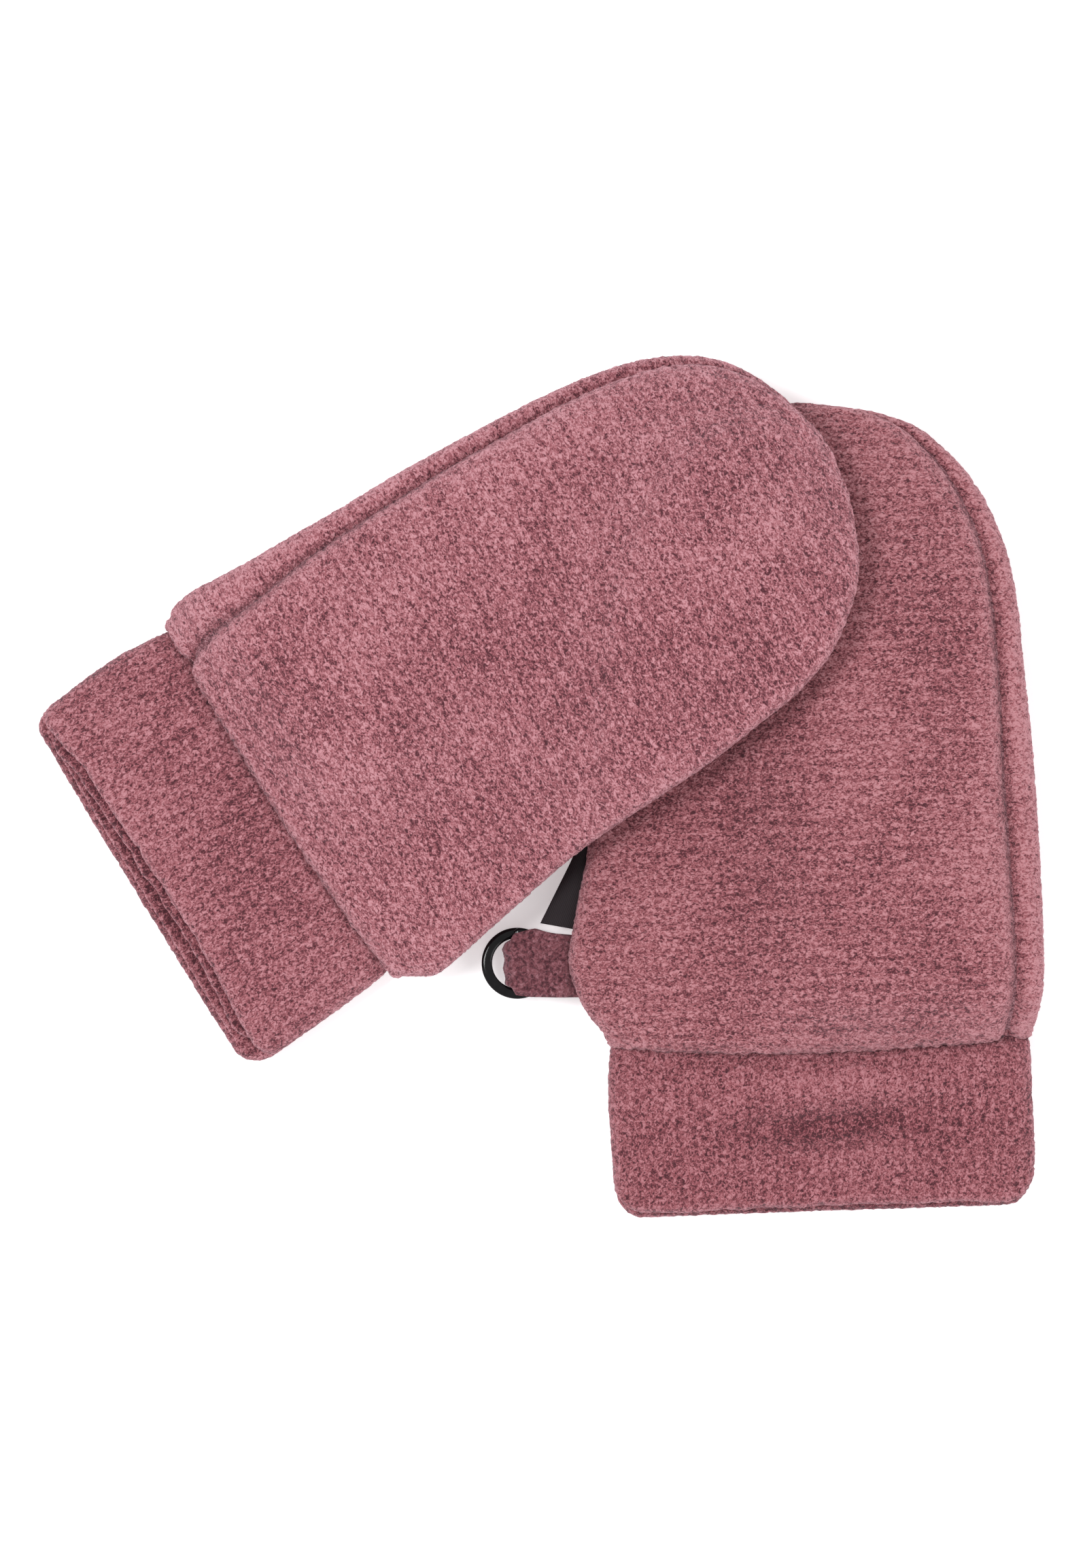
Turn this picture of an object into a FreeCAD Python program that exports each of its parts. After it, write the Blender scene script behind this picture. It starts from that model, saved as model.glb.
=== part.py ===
import FreeCAD, Part
import math
import os

# Pair of toddler's plush fleece mittens, back side up.  The right-hand mitten
# lies across the fingers of the left-hand one.  Millimetres, +Z up, floor z=0.
#
# Each mitten is laid out in its own flat frame: v runs from the cuff's mouth
# to the fingertips, u runs across with the thumb side positive.

V = FreeCAD.Vector
doc = FreeCAD.newDocument("PlushMittens")

# ---------------------------------------------------------------- sizes
sheet = doc.addObject("Spreadsheet::Sheet", "Sizes")
CELLS = [
    ("mitten_long", 158.7, "mouth of the cuff to the fingertips"),
    ("hand_wide", 88.8, "left mitten, widest place of the hand part"),
    ("hand_thick", 15.2, "hand part, both panels and linings"),
    ("fleece_thick", 2.2, "outer plush fleece of the panels"),
    ("lining_gap", 0.2, "air between the fleece and the lining"),
    ("lining_thick", 1.0, "lining of the hand part"),
    ("seam_open", 0.5, "half width of the groove that holds a seam"),
    ("seam_half", 0.3, "half width of a seam's line of stitches"),
    ("cuff_high", 31.0, "mouth fold to wrist seam"),
    ("cuff_thick", 12.0, "cuff lying flat"),
    ("left_cuff_wide", 81.6, "left cuff lying flat"),
    ("right_cuff_wide", 78.4, "right cuff lying flat"),
    ("cuff_layer", 2.0, "outer layer of the cuff"),
    ("cuff_inner_gap", 2.1, "outside of the cuff to its inner layer"),
    ("cuff_mouth", 3.3, "outside of the cuff to the mouth opening"),
    ("mouth_hem", 5.0, "turned-in hem at the mouth"),
    ("hem_gap", 0.1, "hem to inner layer"),
    ("wrist_band", 0.7, "wrist seam between cuff and hand part"),
    ("wrist_set_back", 0.6, "wrist seam below the surface of the cuff"),
    ("thumb_long", 67.0, "thumb, base to tip"),
    ("thumb_wide", 32.2, "thumb lying flat"),
    ("thumb_thick", 7.0, "thumb lying flat"),
    ("thumb_fleece", 1.8, "outer fleece of the thumb"),
    ("thumb_inner", 0.7, "lining of the thumb"),
    ("thumb_hole", 9.0, "radius of the opening from hand to thumb"),
    ("thumb_pivot_u", 27.5, "thumb root across the hand"),
    ("thumb_pivot_v", 56.0, "thumb root along the hand"),
    ("left_thumb_lean", -6.5, "degrees, left thumb at rest leans outwards"),
    ("right_thumb_lean", 9.5, "degrees, right thumb at rest leans to the palm's middle"),
    ("ring_outer", 7.0, "outer radius of the split ring"),
    ("ring_band", 2.1, "radial width of its wire"),
    ("ring_wire", 0.9, "height of one coil"),
    ("ring_pitch", 0.95, "rise in one turn"),
    ("ring_turns", 1.85, "turns of the wire"),
    ("tab_thick", 5.6, "loop tab, both layers and its eye"),
    ("tab_layer", 1.2, "one layer of the loop tab"),
    ("tab_wide", 13.4, "loop tab along the side seam"),
    ("tab_reach", 8.0, "hinge line to the fold's centre"),
    ("label_thick", 0.9, "folded woven label"),
]
for row, (name, value, note) in enumerate(CELLS, start=1):
    sheet.set("A%d" % row, name)
    sheet.set("B%d" % row, str(value))
    sheet.setAlias("B%d" % row, name)
    sheet.set("C%d" % row, note)
doc.recompute()


def size(name):
    return float(sheet.get(name))


# ---------------------------------------------------------------- frames
ORIGIN_X, ORIGIN_Y = 0.55663, 1.12882


class Frame:
    """Flat frame of one mitten: side is +1 for the left hand, -1 for the right."""

    def __init__(self, x, y, angle, side):
        self.x, self.y, self.angle, self.side = x, y, angle, side
        a = math.radians(angle)
        self.ev = (math.cos(a), math.sin(a))
        self.eu = (math.sin(a) * side, -math.cos(a) * side)

    def world(self, u, v, z=0.0):
        return V(self.x + u * self.eu[0] + v * self.ev[0],
                 self.y + u * self.eu[1] + v * self.ev[1], z)

    def local(self, x, y):
        dx, dy = x - self.x, y - self.y
        return (dx * self.eu[0] + dy * self.eu[1],
                dx * self.ev[0] + dy * self.ev[1])

    def placement(self, u, v, z, turn=0.0):
        rot = FreeCAD.Rotation(V(0, 0, 1), self.angle - 90.0 + turn)
        return FreeCAD.Placement(self.world(u, v, z), rot)


LEFT = Frame(55.0 + ORIGIN_X, -84.0 + ORIGIN_Y, 92.0, 1)
RIGHT = Frame(-77.5 + ORIGIN_X, -21.0 + ORIGIN_Y, 32.0, -1)

# ---------------------------------------------------------------- outlines
KL = size("mitten_long") / 158.7
KW = size("hand_wide") / 88.8
KH = size("hand_thick") / 15.2

ROW_V = [31.8, 34.5, 38.5, 44.0, 51.0, 60.0, 71.0, 83.0, 95.0, 107.0, 118.0,
         128.0, 137.0, 144.5, 150.0, 154.0, 156.8, 158.7]
HALF_H = [6.6, 6.9, 7.2, 7.4, 7.55, 7.6, 7.6, 7.6, 7.6, 7.6, 7.5,
          7.2, 6.6, 5.7, 4.6, 3.4, 2.1, 0.0]
MID_Z = [6.6, 6.9, 7.2, 7.4, 7.55, 7.6, 7.6, 7.6, 7.6, 7.6, 7.5,
         7.3, 6.9, 6.3, 5.6, 5.1, 4.8, 4.7]
# how far each row of an inner layer moves in, per millimetre of depth
IN_V = [0.0] * 13 + [0.10, 0.28, 0.55, 0.85, 1.15]
IN_Z = [1.0] * 13 + [0.95, 0.85, 0.66, 0.45, 0.0]
IN_U = [1.0] * 12 + [0.95, 0.88, 0.78, 0.60, 0.45, 0.20]

OUTLINE = {
    "left": {
        "ulnar": [-40.6, -41.6, -43.8, -45.9, -47.2, -46.9, -44.8, -42.9, -42.4,
                  -41.8, -39.9, -37.0, -33.1, -28.6, -23.9, -18.8, -13.0, -5.2],
        "thumb": [41.6, 42.2, 43.1, 43.4, 42.5, 40.8, 39.4, 38.9, 39.2, 41.2,
                  41.4, 39.5, 36.2, 31.8, 26.9, 21.6, 13.8, 3.4],
        "seam": [37.2, 37.8, 38.7, 39.3, 39.4, 39.1, 38.7, 38.2, 38.15, 38.0,
                 37.4, 36.0, 33.2, 29.3, 25.1, 20.6, 13.4, 3.4],
    },
    "right": {
        "ulnar": [-40.2, -41.4, -43.8, -44.3, -43.3, -42.1, -40.3, -39.3, -38.8,
                  -38.0, -37.0, -35.9, -33.0, -27.8, -21.8, -14.8, -8.1, 0.4],
        "thumb": [43.4, 44.8, 45.0, 44.5, 43.9, 43.5, 43.1, 42.8, 42.2, 41.5,
                  40.5, 39.0, 36.6, 33.0, 28.4, 22.5, 15.4, 8.2],
        "seam": [34.0, 35.3, 36.4, 37.0, 37.8, 39.0, 39.7, 39.8, 39.85, 39.4,
                 38.9, 37.8, 35.8, 32.5, 28.0, 22.2, 15.2, 8.2],
    },
}
POWER = 2.6


def smooth(x, x0, x1):
    t = min(1.0, max(0.0, (x - x0) / (x1 - x0)))
    return t * t * (3.0 - 2.0 * t)


def table(x, pairs):
    if x <= pairs[0][0]:
        return pairs[0][1]
    for (x0, y0), (x1, y1) in zip(pairs, pairs[1:]):
        if x <= x1:
            return y0 + (y1 - y0) * (x - x0) / (x1 - x0)
    return pairs[-1][1]


# height of the palm over the thumb that is folded beneath it
THUMB_LIFT = [(31.8, 0.0), (34.0, 1.0), (36.0, 2.5), (40.0, 5.2), (43.5, 6.5),
              (48.0, 7.25), (52.0, 7.5), (107.0, 7.5), (115.0, 6.7),
              (125.0, 4.7), (135.0, 2.5), (145.0, 1.0), (158.0, 0.0)]


def thumb_lift(u, v):
    return table(v, THUMB_LIFT) * smooth(u, -26.0, 7.0) * size("thumb_thick") / 7.0


def outline_points(which, frame):
    o = OUTLINE[which]
    pts = [frame.world(u * KW, v * KL) for u, v in zip(o["ulnar"], ROW_V)]
    pts += [frame.world(u * KW, v * KL)
            for u, v in reversed(list(zip(o["thumb"], ROW_V)))]
    return [(p.x, p.y) for p in pts]


LEFT_EDGE = outline_points("left", LEFT)


def inside_left(x, y):
    """Signed distance in from the left mitten's outline (negative outside)."""
    best = 1e9
    hit = False
    n = len(LEFT_EDGE)
    for i in range(n):
        x0, y0 = LEFT_EDGE[i]
        x1, y1 = LEFT_EDGE[(i + 1) % n]
        dx, dy = x1 - x0, y1 - y0
        t = max(0.0, min(1.0, ((x - x0) * dx + (y - y0) * dy) / (dx * dx + dy * dy)))
        best = min(best, math.hypot(x - x0 - t * dx, y - y0 - t * dy))
        if (y0 > y) != (y1 > y) and x < x0 + (y - y0) / (y1 - y0) * dx:
            hit = not hit
    return best if hit else -best


# height of the right mitten's palm over the left mitten, by that distance
DRAPE = [(-42.0, 0.0), (-32.0, 0.7), (-24.0, 2.4), (-16.0, 5.0), (-8.0, 8.0),
         (-4.0, 9.7), (0.0, 11.4), (3.0, 13.3), (6.0, 14.4), (10.0, 15.2),
         (20.0, 15.9), (30.0, 16.1)]


def lift(which, frame, u, v):
    own = thumb_lift(u, v)
    if which == "left":
        return own
    p = frame.world(u, v)
    d = inside_left(p.x, p.y)
    ul, vl = LEFT.local(p.x, p.y)
    other = (table(d, DRAPE) + thumb_lift(ul, vl)) * smooth(v, 31.8, 48.0)
    gap, soft = abs(own - other), 4.0
    high = max(own, other)
    if gap < soft:
        high += (soft - gap) ** 2 / (4.0 * soft) * min(1.0, (own + other) / soft)
    return high


# ---------------------------------------------------------------- surfaces
def face_from(net):
    rows, cols = len(net), len(net[0])
    du, dv = min(3, rows - 1), min(3, cols - 1)

    def knots(n, d):
        k = n - d
        return [float(i) for i in range(k + 1)], [d + 1] + [1] * (k - 1) + [d + 1]
    ku, mu = knots(rows, du)
    kv, mv = knots(cols, dv)
    s = Part.BSplineSurface()
    s.buildFromPolesMultsKnots(net, mu, mv, ku, kv, False, False, du, dv)
    return s.toShape()


def closed(faces, name):
    shell = Part.Shell(faces)
    if not shell.isClosed():
        shape = Part.Compound(faces)
        shape.sewShape(0.001)
        shell = shape.Shells[0]
    solid = Part.Solid(shell)
    if solid.Volume < 0:
        solid = Part.Solid(shell.reversed()) if hasattr(shell, "reversed") else solid.reversed()
    if solid.Volume < 0 or not solid.isValid():
        solid.fix(0.0001, 0.0001, 0.01)
        if solid.Volume < 0:
            solid.reverse()
    print("patch", name, round(solid.Volume, 1), solid.isValid())
    return solid


def thick_patch(outer, inner, name):
    top, bottom = len(outer) - 1, len(outer[0]) - 1
    return closed([
        face_from(outer),
        face_from(inner),
        face_from([outer[0], inner[0]]),
        face_from([outer[top], inner[top]]),
        face_from([[r[0] for r in outer], [r[0] for r in inner]]),
        face_from([[r[bottom] for r in outer], [r[bottom] for r in inner]]),
    ], name)


def sharpen(row):
    """Moves inner poles out so that the curve passes by the given points."""
    new = list(row)
    for i in range(1, len(row) - 1):
        mean = (row[i - 1] + row[i] * 4.0 + row[i + 1]) * (1.0 / 6.0)
        new[i] = row[i] + (row[i] - mean)
    return new


COLS = 13


def spow(x, p):
    return math.copysign(abs(x) ** p, x)


def hand_rows(which, frame, depth, part, wide=0.0):
    """Net of one panel at a depth below the surface.

    part is back or palm; wide takes that much off both seam edges.
    """
    o = OUTLINE[which]
    net = []
    for k, v0 in enumerate(ROW_V):
        ul, ut, us = o["ulnar"][k] * KW, o["thumb"][k] * KW, o["seam"][k] * KW
        mid, a0 = 0.5 * (ul + ut), 0.5 * (ut - ul)
        ratio = min(1.0, (us - mid) / a0)
        seam = math.acos(ratio ** (POWER / 2.0))
        far = math.radians(table(v0, [(137.0, 188.0), (158.7, 180.0)]))
        a = a0 - depth * IN_U[k]
        b = max(0.0, HALF_H[k] * KH - depth * IN_Z[k])
        zc = MID_Z[k] * KH
        v = v0 * KL - depth * IN_V[k]
        # half a groove's width as an angle: arc length per angle near the edge
        step = 0.0
        if wide > 0.0 and b > 0.0:
            def at(f):
                return (a0 * spow(math.cos(f), 2 / POWER),
                        HALF_H[k] * KH * spow(math.sin(f), 2 / POWER))

            def along(f, sign):
                g = f
                x0, z0 = at(f)
                while True:
                    g += sign * 0.004
                    x1, z1 = at(g)
                    if math.hypot(x1 - x0, z1 - z0) >= wide:
                        return g
            if part == "back":
                f0, f1 = along(seam, 1), along(far, -1)
            else:
                f0, f1 = along(far, 1), along(seam, -1) + 2 * math.pi
        elif part == "back":
            f0, f1 = seam, far
        else:
            f0, f1 = far, seam + 2 * math.pi
        row = []
        for j in range(COLS):
            f = f0 + (f1 - f0) * j / (COLS - 1)
            u = mid + a * spow(math.cos(f), 2 / POWER)
            z = zc + b * spow(math.sin(f), 2 / POWER)
            row.append(frame.world(u, v, z + lift(which, frame, u, v)))
        if k < len(ROW_V) - 1:
            row = [V(r.x, r.y, max(r.z, 0.0)) for r in sharpen(row)]
        if wide > 0.0 and b == 0.0:
            # the closing line at the fingertips opens up and down
            dz = wide if part == "back" else -wide
            row = [p + V(0, 0, dz) for p in row]
        net.append(row)
    return net


def add_shape(name, shape):
    obj = doc.addObject("Part::Feature", name)
    obj.Label = name
    obj.Shape = shape
    return obj


def post(frame, u, v, radius, z0, z1):
    return Part.makeCylinder(radius, z1 - z0, frame.world(u, v, z0), V(0, 0, 1))


# thumb rows from its base round to its tip
THUMB_P = [-16.0, -15.0, -12.5, -8.5, -3.0, 4.0, 12.0, 20.0, 28.0, 35.0, 41.0,
           45.5, 48.7, 50.4, 51.0]
THUMB_W = [4.0, 7.2, 10.6, 13.6, 15.8, 16.1, 15.6, 15.0, 14.2, 12.9, 11.0,
           8.7, 6.0, 4.0, 2.6]
THUMB_H = [0.0, 1.1, 2.1, 2.9, 3.4, 3.5, 3.5, 3.5, 3.5, 3.4, 3.1, 2.6, 1.8, 0.9, 0.0]
THUMB_IN_P = [-1.15, -0.95, -0.6, -0.25, 0, 0, 0, 0, 0, 0, 0.05, 0.2, 0.5, 0.75, 0.95]
THUMB_IN_Z = [0.0, 0.3, 0.6, 0.85, 0.97, 1, 1, 1, 1, 0.98, 0.92, 0.8, 0.58, 0.27, 0.0]
THUMB_IN_W = [0.2, 0.45, 0.7, 0.9, 1, 1, 1, 1, 1, 1, 0.95, 0.85, 0.65, 0.4, 0.2]


def thumb_rows(frame, depth, part):
    lean = math.radians(size("left_thumb_lean" if frame.side > 0 else "right_thumb_lean"))
    pu, pv = size("thumb_pivot_u"), size("thumb_pivot_v")
    kl = size("thumb_long") / 67.0
    kw = size("thumb_wide") / 32.2
    kh = size("thumb_thick") / 7.0
    net = []
    for k, p0 in enumerate(THUMB_P):
        p = p0 * kl - depth * THUMB_IN_P[k]
        a = THUMB_W[k] * kw - depth * THUMB_IN_W[k]
        b = max(0.0, THUMB_H[k] * kh - depth * THUMB_IN_Z[k])
        row = []
        for j in range(COLS):
            f = math.pi * j / (COLS - 1) + (0.0 if part == "top" else math.pi)
            q = a * spow(math.cos(f), 2 / 2.3)
            z = 3.5 * kh + b * spow(math.sin(f), 2 / 2.3)
            u = pu - p * math.sin(lean) + q * math.cos(lean)
            v = pv + p * math.cos(lean) + q * math.sin(lean)
            row.append(frame.world(u, v, z))
        if 0 < k < len(THUMB_P) - 1:
            row = [V(r.x, r.y, max(r.z, 0.0)) for r in sharpen(row)]
        net.append(row)
    return net


def thumb_lens(frame, depth, name):
    return closed([face_from(thumb_rows(frame, depth, "top")),
                   face_from(thumb_rows(frame, depth, "under"))], name)


# ---------------------------------------------------------------- part design
def plane(body, role):
    for f in body.Origin.OriginFeatures:
        if f.Role == role:
            return f
    raise RuntimeError(role)


def new_body(name):
    b = doc.addObject("PartDesign::Body", name)
    b.Label = name
    return b


def new_sketch(body, name, role, back=None):
    s = body.newObject("Sketcher::SketchObject", name)
    s.AttachmentSupport = (plane(body, role), [""])
    s.MapMode = "FlatFace"
    if back is not None:
        s.AttachmentOffset = FreeCAD.Placement(V(0, 0, back), FreeCAD.Rotation())
    return s


def slot(sk, x0, x1, zc, r, e_r=None, e_x0=None, e_x1=None):
    """Stadium from centre x0 to centre x1 at height zc, end radius r."""
    sk.addGeometry(Part.ArcOfCircle(Part.Circle(V(x1, zc, 0), V(0, 0, 1), r),
                                    -math.pi / 2, math.pi / 2))
    sk.addGeometry(Part.LineSegment(V(x1, zc + r, 0), V(x0, zc + r, 0)))
    sk.addGeometry(Part.ArcOfCircle(Part.Circle(V(x0, zc, 0), V(0, 0, 1), r),
                                    math.pi / 2, 3 * math.pi / 2))
    sk.addGeometry(Part.LineSegment(V(x0, zc - r, 0), V(x1, zc - r, 0)))
    import Sketcher
    C = Sketcher.Constraint
    sk.addConstraint(C("Tangent", 0, 2, 1, 1))
    sk.addConstraint(C("Tangent", 1, 2, 2, 1))
    sk.addConstraint(C("Tangent", 2, 2, 3, 1))
    sk.addConstraint(C("Tangent", 3, 2, 0, 1))
    sk.addConstraint(C("Horizontal", 1))
    sk.addConstraint(C("Horizontal", 3))
    i = sk.addConstraint(C("Radius", 0, r))
    if e_r:
        sk.setExpression("Constraints[%d]" % i, e_r)
    i = sk.addConstraint(C("DistanceX", 2, 3, 0, 3, x1 - x0))
    if e_x1:
        sk.setExpression("Constraints[%d]" % i, e_x1)
    if abs(x0) > 1e-6:
        i = sk.addConstraint(C("DistanceX", 2, 3, -1, 1, -x0))
        if e_x0:
            sk.setExpression("Constraints[%d]" % i, e_x0)
    else:
        sk.addConstraint(C("PointOnObject", 2, 3, -2))
    if abs(zc) > 1e-6:
        i = sk.addConstraint(C("DistanceY", -1, 1, 0, 3, zc))
        sk.setExpression("Constraints[%d]" % i, "Sizes.cuff_thick / 2")
    else:
        sk.addConstraint(C("PointOnObject", 0, 3, -1))


def cuff_slot(sk, wide_name, inset_name=None):
    wide, thick = size(wide_name), size("cuff_thick")
    inset = size(inset_name) if inset_name else 0.0
    r = thick / 2 - inset
    half = wide / 2 - thick / 2
    slot(sk, -half, half, thick / 2, r,
         "Sizes.cuff_thick / 2" + (" - Sizes." + inset_name if inset_name else ""),
         "Sizes.%s / 2 - Sizes.cuff_thick / 2" % wide_name,
         "Sizes.%s - Sizes.cuff_thick" % wide_name)


def pad(body, sk, name, expr, reverse):
    f = body.newObject("PartDesign::Pad", name)
    f.Profile = sk
    f.setExpression("Length", expr)
    f.Reversed = reverse
    doc.recompute()
    return f


def pocket(body, sk, name, expr, reverse=False):
    before = body.Shape.Volume
    f = body.newObject("PartDesign::Pocket", name)
    f.Profile = sk
    f.setExpression("Length", expr)
    f.Reversed = reverse
    doc.recompute()
    after = body.Shape.Volume
    print(body.Label, name, "cut", round(before - after, 2))
    if before - after < 0.01:
        raise RuntimeError(name + " cuts nothing")
    return f


def edges_at(body, test):
    return ["Edge%d" % (i + 1) for i, e in enumerate(body.Shape.Edges) if test(e)]


def fillet(body, base, name, edges, radius):
    f = body.newObject("PartDesign::Fillet", name)
    f.Base = (base, edges)
    f.Radius = radius
    doc.recompute()
    return f


def make_cuff(side, frame, mid_u):
    wide = side + "_cuff_wide"
    b = new_body(side + "_cuff")
    s1 = new_sketch(b, side + "_cuff_outline", "XZ_Plane")
    cuff_slot(s1, wide)
    pad(b, s1, side + "_cuff_pad", "Sizes.cuff_high", True)
    s2 = new_sketch(b, side + "_cuff_mouth_outline", "XZ_Plane")
    cuff_slot(s2, wide, "cuff_mouth")
    pocket(b, s2, side + "_cuff_mouth", "Sizes.cuff_high + 1")
    s3 = new_sketch(b, side + "_cuff_inside_outline", "XZ_Plane", 0.0)
    s3.setExpression("AttachmentOffset.Base.z", "-Sizes.mouth_hem")
    cuff_slot(s3, wide, "cuff_layer")
    p3 = pocket(b, s3, side + "_cuff_inside", "Sizes.cuff_high")
    mouth = edges_at(b, lambda e: e.BoundBox.YMax < 0.01)
    fillet(b, p3, side + "_cuff_fold", mouth, 1.2)
    b.Placement = frame.placement(mid_u, 0.0, 0.0)

    c = new_body(side + "_cuff_lining")
    t1 = new_sketch(c, side + "_cuff_lining_outline", "XZ_Plane", 0.0)
    t1.setExpression("AttachmentOffset.Base.z", "-Sizes.mouth_hem - Sizes.hem_gap")
    cuff_slot(t1, wide, "cuff_inner_gap")
    pad(c, t1, side + "_cuff_lining_pad",
        "Sizes.cuff_high - Sizes.mouth_hem - Sizes.hem_gap", True)
    t2 = new_sketch(c, side + "_cuff_lining_mouth", "XZ_Plane")
    cuff_slot(t2, wide, "cuff_mouth")
    pocket(c, t2, side + "_cuff_lining_pocket", "Sizes.cuff_high + 1")
    c.Placement = frame.placement(mid_u, 0.0, 0.0)

    w = new_body(side + "_wrist_seam")
    w1 = new_sketch(w, side + "_wrist_seam_outline", "XZ_Plane", 0.0)
    w1.setExpression("AttachmentOffset.Base.z", "-Sizes.cuff_high")
    cuff_slot(w1, wide, "wrist_set_back")
    pad(w, w1, side + "_wrist_seam_pad", "Sizes.wrist_band", True)
    w2 = new_sketch(w, side + "_wrist_seam_mouth", "XZ_Plane")
    cuff_slot(w2, wide, "cuff_mouth")
    pocket(w, w2, side + "_wrist_seam_pocket", "Sizes.cuff_high + 2")
    w.Placement = frame.placement(mid_u, 0.0, 0.0)
    doc.recompute()
    return b, c, w


def polygon(sk, pts):
    import Sketcher
    C = Sketcher.Constraint
    n = len(pts)
    first = sk.GeometryCount
    for i in range(n):
        a, c = pts[i], pts[(i + 1) % n]
        sk.addGeometry(Part.LineSegment(V(a[0], a[1], 0), V(c[0], c[1], 0)))
    for i in range(n):
        sk.addConstraint(C("Coincident", first + i, 2, first + (i + 1) % n, 1))
    return first


# ---------------------------------------------------------------- mittens
def seam_ribbon(which, frame, name):
    """Line of stitches down in the groove, up one side, round the tip and down."""
    n = len(ROW_V) - 1
    d0, d1 = 0.5, size("fleece_thick") - 0.3
    rails = []
    for depth in (d0, d1):
        back = hand_rows(which, frame, depth, "back", size("seam_half"))
        palm = hand_rows(which, frame, depth, "palm", size("seam_half"))
        up_b = [back[k][0] for k in range(n + 1)]
        up_p = [palm[k][-1] for k in range(n + 1)]
        dn_b = [back[k][-1] for k in range(n, -1, -1)]
        dn_p = [palm[k][0] for k in range(n, -1, -1)]
        rails.append((up_b + dn_b, up_p + dn_p))
    (ob, op), (ib, ip) = rails
    faces = [face_from([ob, op]), face_from([op, ip]), face_from([ip, ib]),
             face_from([ib, ob])]
    for i in (0, -1):
        faces.append(face_from([[ob[i], op[i]], [ib[i], ip[i]]]))
    return closed(faces, name)


def make_mitten(side, frame):
    t, g, l = size("fleece_thick"), size("lining_gap"), size("lining_thick")
    so = size("seam_open")
    pu, pv = size("thumb_pivot_u"), size("thumb_pivot_v")
    rh = size("thumb_hole")
    made = {}
    made["back_panel"] = thick_patch(hand_rows(side, frame, 0.0, "back", so),
                                     hand_rows(side, frame, t, "back", so), side + " back")
    palm = thick_patch(hand_rows(side, frame, 0.0, "palm", so),
                       hand_rows(side, frame, t, "palm", so), side + " palm")
    hole = post(frame, pu, pv, rh, -1.0, 16.0)
    made["palm_panel"] = palm.cut(hole)
    made["back_lining"] = thick_patch(hand_rows(side, frame, t + g, "back"),
                                      hand_rows(side, frame, t + g + l, "back"),
                                      side + " back lining")
    plin = thick_patch(hand_rows(side, frame, t + g, "palm"),
                       hand_rows(side, frame, t + g + l, "palm"), side + " palm lining")
    made["palm_lining"] = plin.cut(hole)
    made["side_seam"] = seam_ribbon(side, frame, side + " seam")

    tf, ti = size("thumb_fleece"), size("thumb_inner")
    top = thick_patch(thumb_rows(frame, 0.0, "top"), thumb_rows(frame, tf, "top"),
                      side + " thumb top")
    eye = post(frame, pu, pv, rh, 3.5, 9.0)
    made["thumb_top"] = top.cut(eye)
    made["thumb_under"] = thick_patch(thumb_rows(frame, 0.0, "under"),
                                      thumb_rows(frame, tf, "under"),
                                      side + " thumb under")
    lens = thumb_lens(frame, tf + 0.1, side + " thumb lining")
    core = thumb_lens(frame, tf + 0.1 + ti, side + " thumb core")
    made["thumb_lining"] = lens.cut(core).cut(eye)
    for key, shape in made.items():
        if len(shape.Solids) == 1:
            shape = shape.Solids[0]
        print(side, key, "solids", len(shape.Solids), "valid", shape.isValid(),
              "volume", round(shape.Volume, 1))
        add_shape(side + "_" + key, shape)


make_mitten("left", LEFT)
make_mitten("right", RIGHT)
make_cuff("left", LEFT, 0.6)
make_cuff("right", RIGHT, 0.6)

# ---------------------------------------------------------------- tab, ring, label
TAB_U, TAB_V, TAB_Z = -50.5, 50.7, 5.6

tab = new_body("left_ring_tab")
s = new_sketch(tab, "tab_outline", "XZ_Plane")
slot(s, 0.0, size("tab_reach"), 0.0, size("tab_thick") / 2,
     "Sizes.tab_thick / 2", None, "Sizes.tab_reach")
pad(tab, s, "tab_pad", "Sizes.tab_wide", True)
s = new_sketch(tab, "tab_eye_outline", "XZ_Plane")
slot(s, 0.0, size("tab_reach"), 0.0, size("tab_thick") / 2 - size("tab_layer"),
     "Sizes.tab_thick / 2 - Sizes.tab_layer", None, "Sizes.tab_reach")
pocket(tab, s, "tab_eye", "Sizes.tab_wide + 1")
s = new_sketch(tab, "tab_shoulder_outline", "XY_Plane", 5.0)
polygon(s, [(5.0, -0.6), (12.5, -0.6), (12.5, 5.0)])
polygon(s, [(5.0, size("tab_wide") + 0.6), (12.5, size("tab_wide") - 5.0),
            (12.5, size("tab_wide") + 0.6)])
pocket(tab, s, "tab_shoulders", "10 mm")
tab.Placement = FreeCAD.Placement(LEFT.world(TAB_U, TAB_V + size("tab_wide") / 2, TAB_Z),
                                  FreeCAD.Rotation(V(0, 0, 1), LEFT.angle - 90.0 + 180.0))

RING_U, RING_V = -58.6, 50.7
ring = new_body("left_ring")
s = new_sketch(ring, "ring_wire_section", "XZ_Plane")
r1, band, wire = size("ring_outer"), size("ring_band"), size("ring_wire")
first = polygon(s, [(r1 - band, 0), (r1, 0), (r1, wire), (r1 - band, wire)])
import Sketcher
C = Sketcher.Constraint
s.addConstraint(C("Horizontal", 0))
s.addConstraint(C("Horizontal", 2))
s.addConstraint(C("Vertical", 1))
s.addConstraint(C("Vertical", 3))
s.addConstraint(C("PointOnObject", 0, 1, -1))
i = s.addConstraint(C("DistanceX", -1, 1, 0, 2, r1))
s.setExpression("Constraints[%d]" % i, "Sizes.ring_outer")
i = s.addConstraint(C("DistanceX", 0, 1, 0, 2, band))
s.setExpression("Constraints[%d]" % i, "Sizes.ring_band")
i = s.addConstraint(C("DistanceY", 1, 1, 1, 2, wire))
s.setExpression("Constraints[%d]" % i, "Sizes.ring_wire")
doc.recompute()
coil = ring.newObject("PartDesign::AdditiveHelix", "ring_coil")
coil.Profile = s
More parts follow.
